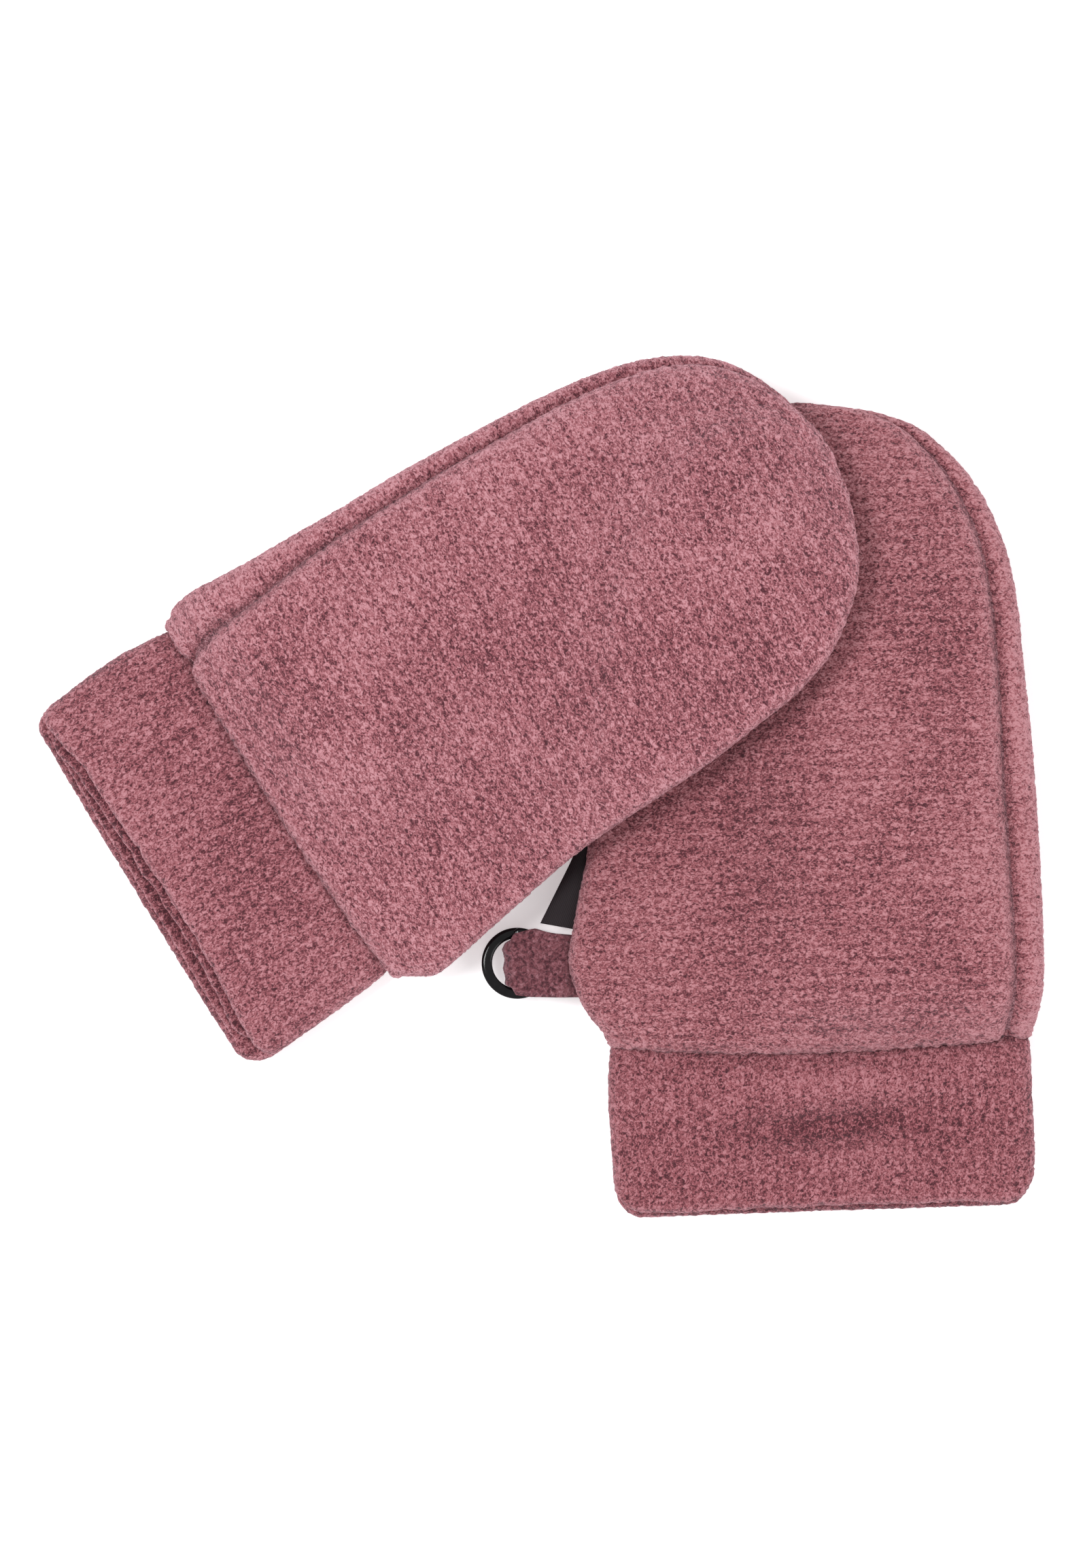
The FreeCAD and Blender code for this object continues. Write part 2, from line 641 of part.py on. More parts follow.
coil.ReferenceAxis = (s, ["V_Axis"])
coil.Mode = 0
coil.setExpression("Pitch", "Sizes.ring_pitch")
coil.setExpression("Height", "Sizes.ring_pitch * Sizes.ring_turns")
coil.Angle = 0
doc.recompute()
height = size("ring_pitch") * size("ring_turns") + size("ring_wire")
ring.Placement = FreeCAD.Placement(LEFT.world(RING_U, RING_V, TAB_Z - height / 2),
                                   FreeCAD.Rotation(V(0, 0, 1), 150.0))

LABEL_U, LABEL_V, LABEL_Z = -47.9, 57.2, 7.2
label = new_body("left_label")
s = new_sketch(label, "label_outline", "XY_Plane")
polygon(s, [(0.0, 0.6), (-6.4, 2.6), (-0.6, 14.0), (2.0, 20.5), (3.9, 20.0)])
pad(label, s, "label_pad", "Sizes.label_thick", False)
label.Placement = LEFT.placement(LABEL_U, LABEL_V, LABEL_Z)
doc.recompute()

# ---------------------------------------------------------------- write
os.makedirs("parts", exist_ok=True)
nodes = [o for o in doc.Objects
         if o.TypeId == "PartDesign::Body" or
         (o.TypeId == "Part::Feature" and (o.Label.startswith("left_") or
                                           o.Label.startswith("right_")))]
box = FreeCAD.BoundBox()
for o in doc.Objects:
    if "Invalid" in o.State or "Error" in o.State:
        raise RuntimeError("%s %s" % (o.Label, o.State))
for o in nodes:
    shape = o.Shape
    if shape.isNull() or not shape.isValid():
        raise RuntimeError(o.Label + " is not a sound shape")
    if len(shape.Solids) != 1:
        print("WARNING", o.Label, len(shape.Solids), "solids")
    bb = shape.BoundBox
    box.add(bb)
    print("%-22s vol %9.1f  x %7.2f %7.2f  y %7.2f %7.2f  z %6.2f %6.2f" %
          (o.Label, shape.Volume, bb.XMin, bb.XMax, bb.YMin, bb.YMax, bb.ZMin, bb.ZMax))
    shape.exportStep("parts/%s.step" % o.Label)
print("all", len(nodes), "nodes; box centre %.3f %.3f" % (box.Center.x, box.Center.y),
      "size %.2f %.2f %.2f" % (box.XLength, box.YLength, box.ZLength),
      "z from %.3f" % box.ZMin)
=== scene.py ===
import bpy
import bmesh
import math
import numpy as np
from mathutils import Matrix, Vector


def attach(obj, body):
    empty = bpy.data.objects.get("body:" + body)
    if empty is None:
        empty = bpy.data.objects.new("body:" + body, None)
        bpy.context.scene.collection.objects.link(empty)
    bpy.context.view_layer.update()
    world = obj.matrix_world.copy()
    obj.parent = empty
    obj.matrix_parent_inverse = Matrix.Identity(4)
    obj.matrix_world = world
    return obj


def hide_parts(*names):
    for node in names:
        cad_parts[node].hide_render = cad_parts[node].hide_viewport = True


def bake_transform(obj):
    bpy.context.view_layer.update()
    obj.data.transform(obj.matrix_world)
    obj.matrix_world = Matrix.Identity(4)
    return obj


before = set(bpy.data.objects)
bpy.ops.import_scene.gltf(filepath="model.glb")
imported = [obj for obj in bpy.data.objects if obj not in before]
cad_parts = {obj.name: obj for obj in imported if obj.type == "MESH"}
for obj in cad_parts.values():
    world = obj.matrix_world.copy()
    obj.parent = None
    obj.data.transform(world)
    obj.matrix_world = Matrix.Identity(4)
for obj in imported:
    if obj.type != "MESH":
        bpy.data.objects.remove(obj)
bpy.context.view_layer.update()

STEP = 0.46      # mm between the points of the plush surfaces

# ------------------------------------------------------------------ frames
OX, OY = 0.55663, 1.12882


class Frame:
    def __init__(self, x, y, angle, side):
        self.x, self.y, self.angle, self.side = x + OX, y + OY, angle, side
        a = math.radians(angle)
        self.ev = (math.cos(a), math.sin(a))
        self.eu = (math.sin(a) * side, -math.cos(a) * side)

    def world(self, u, v, z):
        u, v, z = np.broadcast_arrays(np.asarray(u, float), np.asarray(v, float),
                                      np.asarray(z, float))
        return np.stack([self.x + u * self.eu[0] + v * self.ev[0],
                         self.y + u * self.eu[1] + v * self.ev[1], z], -1)

    def local(self, p):
        dx, dy = p[..., 0] - self.x, p[..., 1] - self.y
        return (dx * self.eu[0] + dy * self.eu[1], dx * self.ev[0] + dy * self.ev[1])


LEFT = Frame(55.0, -84.0, 92.0, 1)
RIGHT = Frame(-77.5, -21.0, 32.0, -1)
FRAMES = {"left": LEFT, "right": RIGHT}

# ------------------------------------------------------------------ outlines (mm)
ROW_V = np.array([31.8, 34.5, 38.5, 44.0, 51.0, 60.0, 71.0, 83.0, 95.0, 107.0, 118.0,
                  128.0, 137.0, 144.5, 150.0, 154.0, 156.8, 158.7])
HALF_H = np.array([5.5, 6.9, 7.3, 7.5, 7.6, 7.6, 7.6, 7.6, 7.6, 7.6, 7.5,
                   7.2, 6.6, 5.8, 4.9, 3.8, 2.5, 0.0])
MID_Z = np.array([6.0, 6.9, 7.3, 7.5, 7.6, 7.6, 7.6, 7.6, 7.6, 7.6, 7.5,
                  7.3, 6.9, 6.3, 5.7, 5.2, 4.9, 4.7])
IN_V = np.array([0.0] * 13 + [0.10, 0.28, 0.55, 0.85, 1.15])
IN_Z = np.array([1.0] * 13 + [0.95, 0.85, 0.66, 0.45, 0.0])
IN_U = np.array([1.0] * 12 + [0.95, 0.88, 0.78, 0.60, 0.45, 0.20])
OUTLINE = {
    "left": {
        "ulnar": [-41.0, -42.3, -44.7, -46.8, -48.3, -46.6, -44.1, -42.6, -42.2,
                  -41.8, -39.9, -37.0, -33.1, -28.6, -23.9, -18.8, -13.0, -5.2],
        "thumb": [41.4, 42.2, 43.2, 43.9, 44.1, 44.0, 43.8, 43.5, 42.9, 42.0,
                  41.2, 39.5, 36.2, 31.8, 26.9, 21.6, 13.8, 3.4],
        "seam": [37.2, 37.8, 38.7, 39.3, 39.4, 39.2, 38.8, 38.35, 38.3, 38.0,
                 37.4, 36.0, 33.2, 29.3, 25.1, 20.6, 13.4, 3.4],
    },
    "right": {
        "ulnar": [-40.2, -41.4, -43.6, -43.2, -42.0, -40.5, -38.7, -37.5, -37.2,
                  -36.8, -35.7, -34.3, -31.5, -26.8, -21.6, -14.8, -8.1, 0.4],
        "thumb": [42.6, 44.4, 45.0, 44.5, 43.9, 43.5, 43.1, 42.8, 42.2, 41.5,
                  40.5, 39.0, 36.6, 33.0, 28.4, 22.5, 15.4, 8.2],
        "seam": [34.0, 35.3, 36.4, 37.0, 37.8, 39.0, 39.7, 39.8, 39.85, 39.4,
                 38.9, 37.8, 35.8, 32.5, 28.0, 22.2, 15.2, 8.2],
    },
}
# the hem's soft roll: rows that curl out over the cuff before the table's own rows
for _o in OUTLINE.values():
    for _k, _in in (("ulnar", 1), ("thumb", -1), ("seam", -1)):
        _first = _o[_k][0]
        _o[_k] = [_first + _in * _d for _d in (1.9, 1.35, 0.6, 0.0, -0.3)] + _o[_k][1:]
ROW_V = np.concatenate([[33.6, 32.0, 31.3, 31.6, 32.7], ROW_V[1:]])
HALF_H = np.concatenate([[4.3, 4.5, 5.3, 6.4, 7.15], [7.45, 7.5, 7.55], HALF_H[4:]])
MID_Z = np.concatenate([[6.0, 6.0, 6.2, 6.6, 6.9], [7.1, 7.35, 7.5], MID_Z[4:]])
IN_V = np.concatenate([[-0.1, -0.7, -1.0, -0.75, -0.3], IN_V[1:]])
IN_Z = np.concatenate([[-0.1, 0.2, 0.5, 0.8, 1.0], IN_Z[1:]])
IN_U = np.concatenate([[0.6, 0.8, 0.9, 1.0, 1.0], IN_U[1:]])
POWER = 2.6
# how far the hem of the hand part runs past its mean line: (ulnar, middle, thumb side)
HEM = {"left": (2.4, 0.0, 1.5), "right": (0.3, -1.9, -1.2)}
DRAPE = np.array([(-42.0, 0.0), (-32.0, 0.7), (-24.0, 2.4), (-16.0, 5.0), (-8.0, 8.0),
                  (-4.0, 9.7), (0.0, 11.4), (3.0, 13.3), (6.0, 14.4), (10.0, 15.2),
                  (20.0, 15.9), (30.0, 16.1)])
THUMB_LIFT = np.array([(31.8, 0.0), (34.0, 1.0), (36.0, 2.5), (40.0, 5.2), (43.5, 6.5),
                       (48.0, 7.25), (52.0, 7.5), (107.0, 7.5), (115.0, 6.7),
                       (125.0, 4.7), (135.0, 2.5), (145.0, 1.0), (158.0, 0.0)])
PIVOT_U, PIVOT_V = 27.5, 56.0
LEANS = {"left": math.radians(-6.5), "right": math.radians(9.5)}


def smooth(x, x0, x1):
    t = np.clip((x - x0) / (x1 - x0), 0.0, 1.0)
    return t * t * (3.0 - 2.0 * t)


def spow(x, p):
    return np.sign(x) * np.abs(x) ** p


def spline(tab, t):
    """Smooth curve through the values of tab at 0, 1, 2 ..."""
    tab = np.asarray(tab, float)
    ext = np.concatenate([[2 * tab[0] - tab[1]], tab, [2 * tab[-1] - tab[-2]]])
    k = np.clip(np.floor(t).astype(int), 0, len(tab) - 2)
    f = t - k
    p0, p1, p2, p3 = ext[k], ext[k + 1], ext[k + 2], ext[k + 3]
    return 0.5 * (2 * p1 + (p2 - p0) * f + (2 * p0 - 5 * p1 + 4 * p2 - p3) * f ** 2 +
                  (3 * p1 - p0 - 3 * p2 + p3) * f ** 3)


def thumb_lift(u, v):
    return np.interp(v, THUMB_LIFT[:, 0], THUMB_LIFT[:, 1]) * smooth(u, -26.0, 7.0)


def outline_xy(which, f):
    o = OUTLINE[which]
    a = f.world(np.array(o["ulnar"][4:]), ROW_V[4:], 0.0)
    b = f.world(np.array(o["thumb"][4:]), ROW_V[4:], 0.0)[::-1]
    return np.concatenate([a, b])[:, :2]


LEFT_EDGE = outline_xy("left", LEFT)


def inside_left(p):
    xy = p[..., :2].reshape(-1, 2)
    best = np.full(len(xy), 1e9)
    hit = np.zeros(len(xy), bool)
    n = len(LEFT_EDGE)
    for i in range(n):
        a, b = LEFT_EDGE[i], LEFT_EDGE[(i + 1) % n]
        d = b - a
        t = np.clip(((xy - a) @ d) / (d @ d), 0.0, 1.0)
        q = xy - a - t[:, None] * d
        best = np.minimum(best, np.hypot(q[:, 0], q[:, 1]))
        cross = (a[1] > xy[:, 1]) != (b[1] > xy[:, 1])
        dy = b[1] - a[1]
        x = a[0] + (xy[:, 1] - a[1]) / (dy if abs(dy) > 1e-12 else 1e-12) * d[0]
        hit ^= cross & (xy[:, 0] < x)
    return np.where(hit, best, -best).reshape(p.shape[:-1])


def lift(which, f, u, v):
    own = thumb_lift(u, v)
    if which == "left":
        return own
    p = f.world(u, v, 0.0)
    d = inside_left(p)
    ul, vl = LEFT.local(p)
    other = (np.interp(d, DRAPE[:, 0], DRAPE[:, 1]) + thumb_lift(ul, vl)) * \
        smooth(v, 31.8, 48.0)
    gap, soft = np.abs(own - other), 4.0
    high = np.maximum(own, other)
    return high + np.where(gap < soft, (soft - gap) ** 2 / (4.0 * soft) *
                           np.minimum(1.0, (own + other) / soft), 0.0)


# ------------------------------------------------------------------ noise
GRADS = np.array([(1, 1, 0), (-1, 1, 0), (1, -1, 0), (-1, -1, 0), (1, 0, 1), (-1, 0, 1),
                  (1, 0, -1), (-1, 0, -1), (0, 1, 1), (0, -1, 1), (0, 1, -1), (0, -1, -1),
                  (1, 1, 0), (-1, 1, 0), (0, -1, 1), (0, -1, -1)], float)


def perlin(p, seed=0):
    shape = p.shape[:-1]
    p = p.reshape(-1, 3)
    i = np.floor(p).astype(np.int64)
    f = p - i
    w = f * f * f * (f * (f * 6 - 15) + 10)
    out = np.zeros(len(p))
    for dx in (0, 1):
        for dy in (0, 1):
            for dz in (0, 1):
                h = ((i[:, 0] + dx) * 73856093) ^ ((i[:, 1] + dy) * 19349663) ^ \
                    ((i[:, 2] + dz) * 83492791) ^ (seed * 2654435761)
                h &= 0x7FFFFFFF
                h = (h ^ (h >> 13)) * 1274126177 & 0x7FFFFFFF
                h = (h ^ (h >> 16))
                g = GRADS[h & 15]
                d = f - np.array([dx, dy, dz])
                k = (g * d).sum(1)
                k *= (w[:, 0] if dx else 1 - w[:, 0])
                k *= (w[:, 1] if dy else 1 - w[:, 1])
                k *= (w[:, 2] if dz else 1 - w[:, 2])
                out += k
    return out.reshape(shape)


def pile(q, seed, along=1.75, across=0.95):
    """Height of the curled pile, about 0 to 1, at places q (u, v, z in mm)."""
    warp = np.stack([perlin(q / 2.6, seed + 1), perlin(q / 2.6 + 31.7, seed + 2),
                     perlin(q / 2.6 + 57.1, seed + 3)], -1) * 0.9
    s = (q + warp) / np.array([along, across, across])
    curl = 1.0 - np.abs(perlin(s, seed + 4)) * 2.3
    fine = perlin(q / np.array([1.0, 0.75, 0.75]), seed + 5)
    tuft = perlin(q / 3.2, seed + 6)
    return np.clip(0.45 + 0.42 * (curl - 0.45) + 0.42 * fine + 0.12 * tuft, 0.0, 1.0)


# ------------------------------------------------------------------ meshes
def grid_quads(rows, cols, start=0, wrap_r=False, wrap_c=False):
    r = np.arange(rows if wrap_r else rows - 1)
    c = np.arange(cols if wrap_c else cols - 1)
    rr, cc = np.meshgrid(r, c, indexing="ij")
    r2, c2 = (rr + 1) % rows, (cc + 1) % cols
    return np.stack([rr * cols + cc, rr * cols + c2, r2 * cols + c2, r2 * cols + cc],
                    -1).reshape(-1, 4) + start


def grid_normals(p, wrap_r=False, wrap_c=False):
    def diff(a, axis, wrap):
        if wrap:
            return np.roll(a, -1, axis) - np.roll(a, 1, axis)
        return np.gradient(a, axis=axis)
    n = np.cross(diff(p, 1, wrap_c), diff(p, 0, wrap_r))
    length = np.linalg.norm(n, axis=-1, keepdims=True)
    return n / np.maximum(length, 1e-9)


def build(name, verts, polys, body, nodes, material, attrs=None, fix=True):
    """Mesh object from mm points; attrs maps a name to one number per point."""
    v = np.array(verts, float)
    mesh = bpy.data.meshes.new(name)
    mesh.vertices.add(len(v))
    mesh.vertices.foreach_set("co", (v * 0.001).astype(np.float32).ravel())
    loops = np.concatenate([np.asarray(p, np.int32).ravel() for p in polys])
    counts = np.concatenate([np.full(len(p), np.asarray(p).shape[1], np.int32)
                             for p in polys])
    starts = np.concatenate([[0], np.cumsum(counts)[:-1]]).astype(np.int32)
    mesh.loops.add(len(loops))
    mesh.loops.foreach_set("vertex_index", loops)
    mesh.polygons.add(len(counts))
    mesh.polygons.foreach_set("loop_start", starts)
    for key, values in (attrs or {}).items():
        a = mesh.attributes.new(key, "FLOAT", "POINT")
        a.data.foreach_set("value", np.asarray(values, np.float32))
    mesh.update(calc_edges=True)
    mesh.validate()
    if fix:
        bm = bmesh.new()
        bm.from_mesh(mesh)
        bmesh.ops.recalc_face_normals(bm, faces=bm.faces)
        bm.to_mesh(mesh)
        bm.free()
    mesh.polygons.foreach_set("use_smooth", np.ones(len(mesh.polygons), bool))
    mesh.update()
    obj = bpy.data.objects.new(name, mesh)
    bpy.context.scene.collection.objects.link(obj)
    obj.data.materials.append(material)
    if body:
        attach(obj, body)
    if nodes:
        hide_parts(*nodes)
    return obj


def shell(outer, inner, q):
    """Closed sheet: a fine grid outside, one q times coarser inside, and the rims."""
    R, C = outer.shape[:2]
    r, c = inner.shape[:2]
    n0 = R * C
    polys = [grid_quads(R, C), grid_quads(r, c, n0)[:, ::-1]]
    fine = {"a": [i * C for i in range(R)], "b": [i * C + C - 1 for i in range(R)],
            "c": list(range(C)), "d": [(R - 1) * C + j for j in range(C)]}
    rough = {"a": [n0 + i * c for i in range(r)], "b": [n0 + i * c + c - 1 for i in range(r)],
             "c": [n0 + j for j in range(c)], "d": [n0 + (r - 1) * c + j for j in range(c)]}
    for k in "abcd":
        f, g = fine[k], rough[k]
        rim = [f[q * i:q * i + q + 1] + [g[i + 1], g[i]] for i in range(len(g) - 1)]
        polys.append(np.array(rim))
    return np.concatenate([outer.reshape(-1, 3), inner.reshape(-1, 3)]), polys


# ------------------------------------------------------------------ hand part
def rows_for(which, step, mult):
    """Row parameters with an even spacing from the hem over to the fingertips."""
    t = np.linspace(0.0, len(ROW_V) - 1, 1200)
    o = OUTLINE[which]
    v, h = spline(ROW_V, t), spline(HALF_H, t)
    w = 0.5 * (spline(o["thumb"], t) - spline(o["ulnar"], t))
    s = np.concatenate([[0], np.cumsum(np.hypot(np.diff(v), np.diff(h)) +
                                       0.25 * np.abs(np.diff(w)))])
    n = max(mult, int(round(s[-1] / step / mult)) * mult)
    return np.interp(np.linspace(0, s[-1], n + 1), s, t)


def hem_shift(which, u, v):
    a, m, b = HEM[which]
    w = np.where(u < 0, m + (a - m) * np.clip(-u / 41.0, 0, 1.1) ** 2,
                 m + (b - m) * np.clip(u / 41.0, 0, 1.1) ** 2)
    return w * (1.0 - smooth(v, 31.8, 46.0))


def hand(which, depth, part, t, cols, open_by=0.0):
    """Points (rows, cols, 3) of a layer, its local places and distances to the seams."""
    f = FRAMES[which]
    o = OUTLINE[which]
    R = len(t)
    ul, ut, us = (spline(o[k], t) for k in ("ulnar", "thumb", "seam"))
    v0, h0, z0 = spline(ROW_V, t), spline(HALF_H, t), spline(MID_Z, t)
    iv, iz, iu = spline(IN_V, t), spline(IN_Z, t), spline(IN_U, t)
    mid, a0 = 0.5 * (ul + ut), 0.5 * (ut - ul)
    ratio = np.clip((us - mid) / a0, 0.0, 1.0)
    seam = np.arccos(ratio ** (POWER / 2))
    far = np.radians(np.interp(v0, [137.0, 158.7], [188.0, 180.0]))
    a = a0 - depth * iu
    b = np.maximum(0.0, h0 - depth * iz)
    v = v0 - depth * iv
    fr = np.linspace(0, 1, 420)
    if part == "back":
        f0, f1 = seam, far
    else:
        f0, f1 = far, seam + 2 * math.pi
    U = np.zeros((R, cols)); Z = np.zeros((R, cols)); S0 = np.zeros((R, cols)); S1 = np.zeros((R, cols))
    for k in range(R):
        ph = f0[k] + (f1[k] - f0[k]) * fr
        x = a[k] * spow(np.cos(ph), 2 / POWER)
        z = b[k] * spow(np.sin(ph), 2 / POWER)
        s = np.concatenate([[0], np.cumsum(np.hypot(np.diff(x), np.diff(z)))])
        want = np.linspace(open_by, s[-1] - open_by, cols)
        U[k] = mid[k] + np.interp(want, s, x)
        Z[k] = z0[k] + np.interp(want, s, z)
        S0[k] = want
        S1[k] = s[-1] - want
    V = np.repeat(v[:, None], cols, 1)
    V = V + hem_shift(which, U, V)
    L = lift(which, f, U, V)
    P = f.world(U, V, Z + L)
    Q = np.stack([U, V, Z], -1)
    if part == "palm":
        S0, S1 = S1, S0        # S0 is always the thumb side's seam
    return P, Q, S0, S1


def groove(s, depth, wide):
    k = np.clip(1.0 - s / wide, 0.0, 1.0)
    return depth * k * k


def outward(n, part):
    if part == "back":
        return n if n[..., 2].mean() > 0 else -n
    return n if n[..., 2].mean() < 0 else -n


def make_panel(which, part, seed):
    f = FRAMES[which]
    q = 4
    t = rows_for(which, STEP, q)
    cols = int(round(104.0 / STEP / q)) * q + 1
    P, Q, s0, s1 = hand(which, 0.0, part, t, cols, 0.15)
    n = outward(grid_normals(P), part)
    tip = smooth(t, 19.5, 21.0)[:, None]
    # soft swellings and hollows of the stuffed fleece
    big = perlin(Q / np.array([26.0, 34.0, 60.0]), seed) * 1.1 + \
        perlin(Q / np.array([12.0, 15.0, 40.0]), seed + 9) * 0.35
    edge = smooth(np.minimum(s0, s1), 0.0, 7.0) * smooth(Q[..., 1], 33.0, 42.0)
    move = big * edge * (1.0 if part == "back" else 0.25)
    cut = (groove(s0, 2.3, 3.0) + groove(s1, 1.2, 2.2)) * (1 - 0.6 * tip)
    move -= cut
    puff = np.exp(-((s0 - 5.2) / 2.8) ** 2) * 0.45 + np.exp(-((s1 - 4.5) / 2.6) ** 2) * 0.25
    move += puff * (1 - tip) * smooth(t, 1.0, 6.0)[:, None]
    fur = pile(Q, seed + 20)
    roll = smooth(t, 5.5, 3.0)[:, None] * np.ones_like(fur)
    rough = np.maximum(roll, np.maximum(smooth(s0, 2.5, 0.6), smooth(s1, 2.5, 0.6)))
    tufts = perlin(Q / 1.15, seed + 31) * 0.28 * rough
    P2 = P + n * (move + (fur - 0.36) * (0.46 + 0.3 * rough) + tufts)[..., None]
    if part == "palm":
        P2[..., 2] = np.maximum(P2[..., 2], 0.05)
    inner, _, i0, i1 = hand(which, 2.0, part, t[::q], (cols - 1) // q + 1, 0.15)
    sink = (groove(i0, 1.3, 2.6) + groove(i1, 0.5, 1.8)) * (1 - 0.6 * tip[::q])
    inner = inner - outward(grid_normals(inner), part) * sink[..., None]
    verts, polys = shell(P2, inner, q)
    att = np.concatenate([fur.ravel(), np.full(inner.shape[0] * inner.shape[1], 0.3)])
    # painted shade under the hem roll (first rows) and a painted highlight on the roll's crest
    under = smooth(t, 2.4, 1.0)[:, None] * 2.0 - \
        np.exp(-((t - 3.6) / 0.9) ** 2)[:, None] * 0.75
    # the rim of the palm that wraps up to the seam catches more light
    rim = smooth(s0, 0.7, 1.8) * (1 - smooth(s0, 7.0, 14.0)) * \
        {"left": 1.4, "right": 0.7}[which] * (part == "palm")
    # painted highlight where the cloth turns over: seams, sides and fingertips
    if part == "back":
        rim = rim + 0.95 * np.exp(-((s0 - 1.9) / 1.5) ** 2) + \
            0.85 * np.exp(-(s1 / 4.0) ** 2) + 0.5 * smooth(t, 18.0, 20.5)[:, None]
    rim = rim + 0.8 * cut
    # painted shade and highlight for the material: deeper places darker, rims and crests lighter; 0.8 * cut takes back
    # part of the grooves' painted shade
    low = np.concatenate([(np.clip(move - under, -2, 1) + rim).ravel(),
                          np.full(inner.shape[0] * inner.shape[1], 0.0)])
    build("%s_%s_plush" % (which, part), verts, polys, which + "_mitten",
          ["%s_%s_panel" % (which, part)], PLUSH[which],
          {"pile": att, "painted_shade_highlight": low})


def make_lining(which, part, seed):
    q = 1
    step = 1.6
    t = rows_for(which, step, q)
    cols = int(round(100.0 / step)) + 1
    A, Q, s0, s1 = hand(which, 2.3, part, t, cols)
    B, _, _, _ = hand(which, 3.35, part, t, cols)
    fur = pile(Q, seed, 1.6, 1.2)
    verts, polys = shell(A, B, q)
    att = np.concatenate([fur.ravel(), fur.ravel()])
    build("%s_%s_inner" % (which, part), verts, polys, which + "_mitten",
          ["%s_%s_lining" % (which, part)], INNER[which],
          {"pile": att, "painted_shade_highlight": att * 0})


# ------------------------------------------------------------------ materials
def new_material(name):
    m = bpy.data.materials.new(name)
    m.use_nodes = True
    nt = m.node_tree
    for nd in list(nt.nodes):
        nt.nodes.remove(nd)
    out = nt.nodes.new("ShaderNodeOutputMaterial")
    bsdf = nt.nodes.new("ShaderNodeBsdfPrincipled")
    nt.links.new(bsdf.outputs[0], out.inputs[0])
    return m, nt, bsdf


def node(nt, kind, **values):
    nd = nt.nodes.new(kind)
    for key, val in values.items():
        if key in nd.inputs:
            nd.inputs[key].default_value = val
        else:
            setattr(nd, key, val)
    return nd


def math_node(nt, op, a, b=None, c=None, clamp=False):
    nd = nt.nodes.new("ShaderNodeMath")
    nd.operation = op
    nd.use_clamp = clamp
    for k, x in enumerate((a, b, c)):
        if x is None:
            continue
        if isinstance(x, (int, float)):
            nd.inputs[k].default_value = x
        else:
            nt.links.new(x, nd.inputs[k])
    return nd.outputs[0]


def srgb(r, g, b):
    def lin(c):
        c /= 255.0
        return c / 12.92 if c <= 0.04045 else ((c + 0.055) / 1.055) ** 2.4
    return (lin(r), lin(g), lin(b), 1.0)


def noise_tex(nt, vec, scale, detail=2.0, rough=0.55, distortion=0.0):
    nd = nt.nodes.new("ShaderNodeTexNoise")
    nd.inputs["Scale"].default_value = scale
    nd.inputs["Detail"].default_value = detail
    nd.inputs["Roughness"].default_value = rough
    nd.inputs["Distortion"].default_value = distortion
    nt.links.new(vec, nd.inputs["Vector"])
    return nd.outputs[0]


def ramp(nt, fac, stops):
    nd = nt.nodes.new("ShaderNodeValToRGB")
    cr = nd.color_ramp
    cr.elements[0].position, cr.elements[0].color = stops[0]
    cr.elements[1].position, cr.elements[1].color = stops[-1]
    for pos, col in stops[1:-1]:
        e = cr.elements.new(pos)
        e.color = col
    nt.links.new(fac, nd.inputs[0])
    return nd.outputs[0]


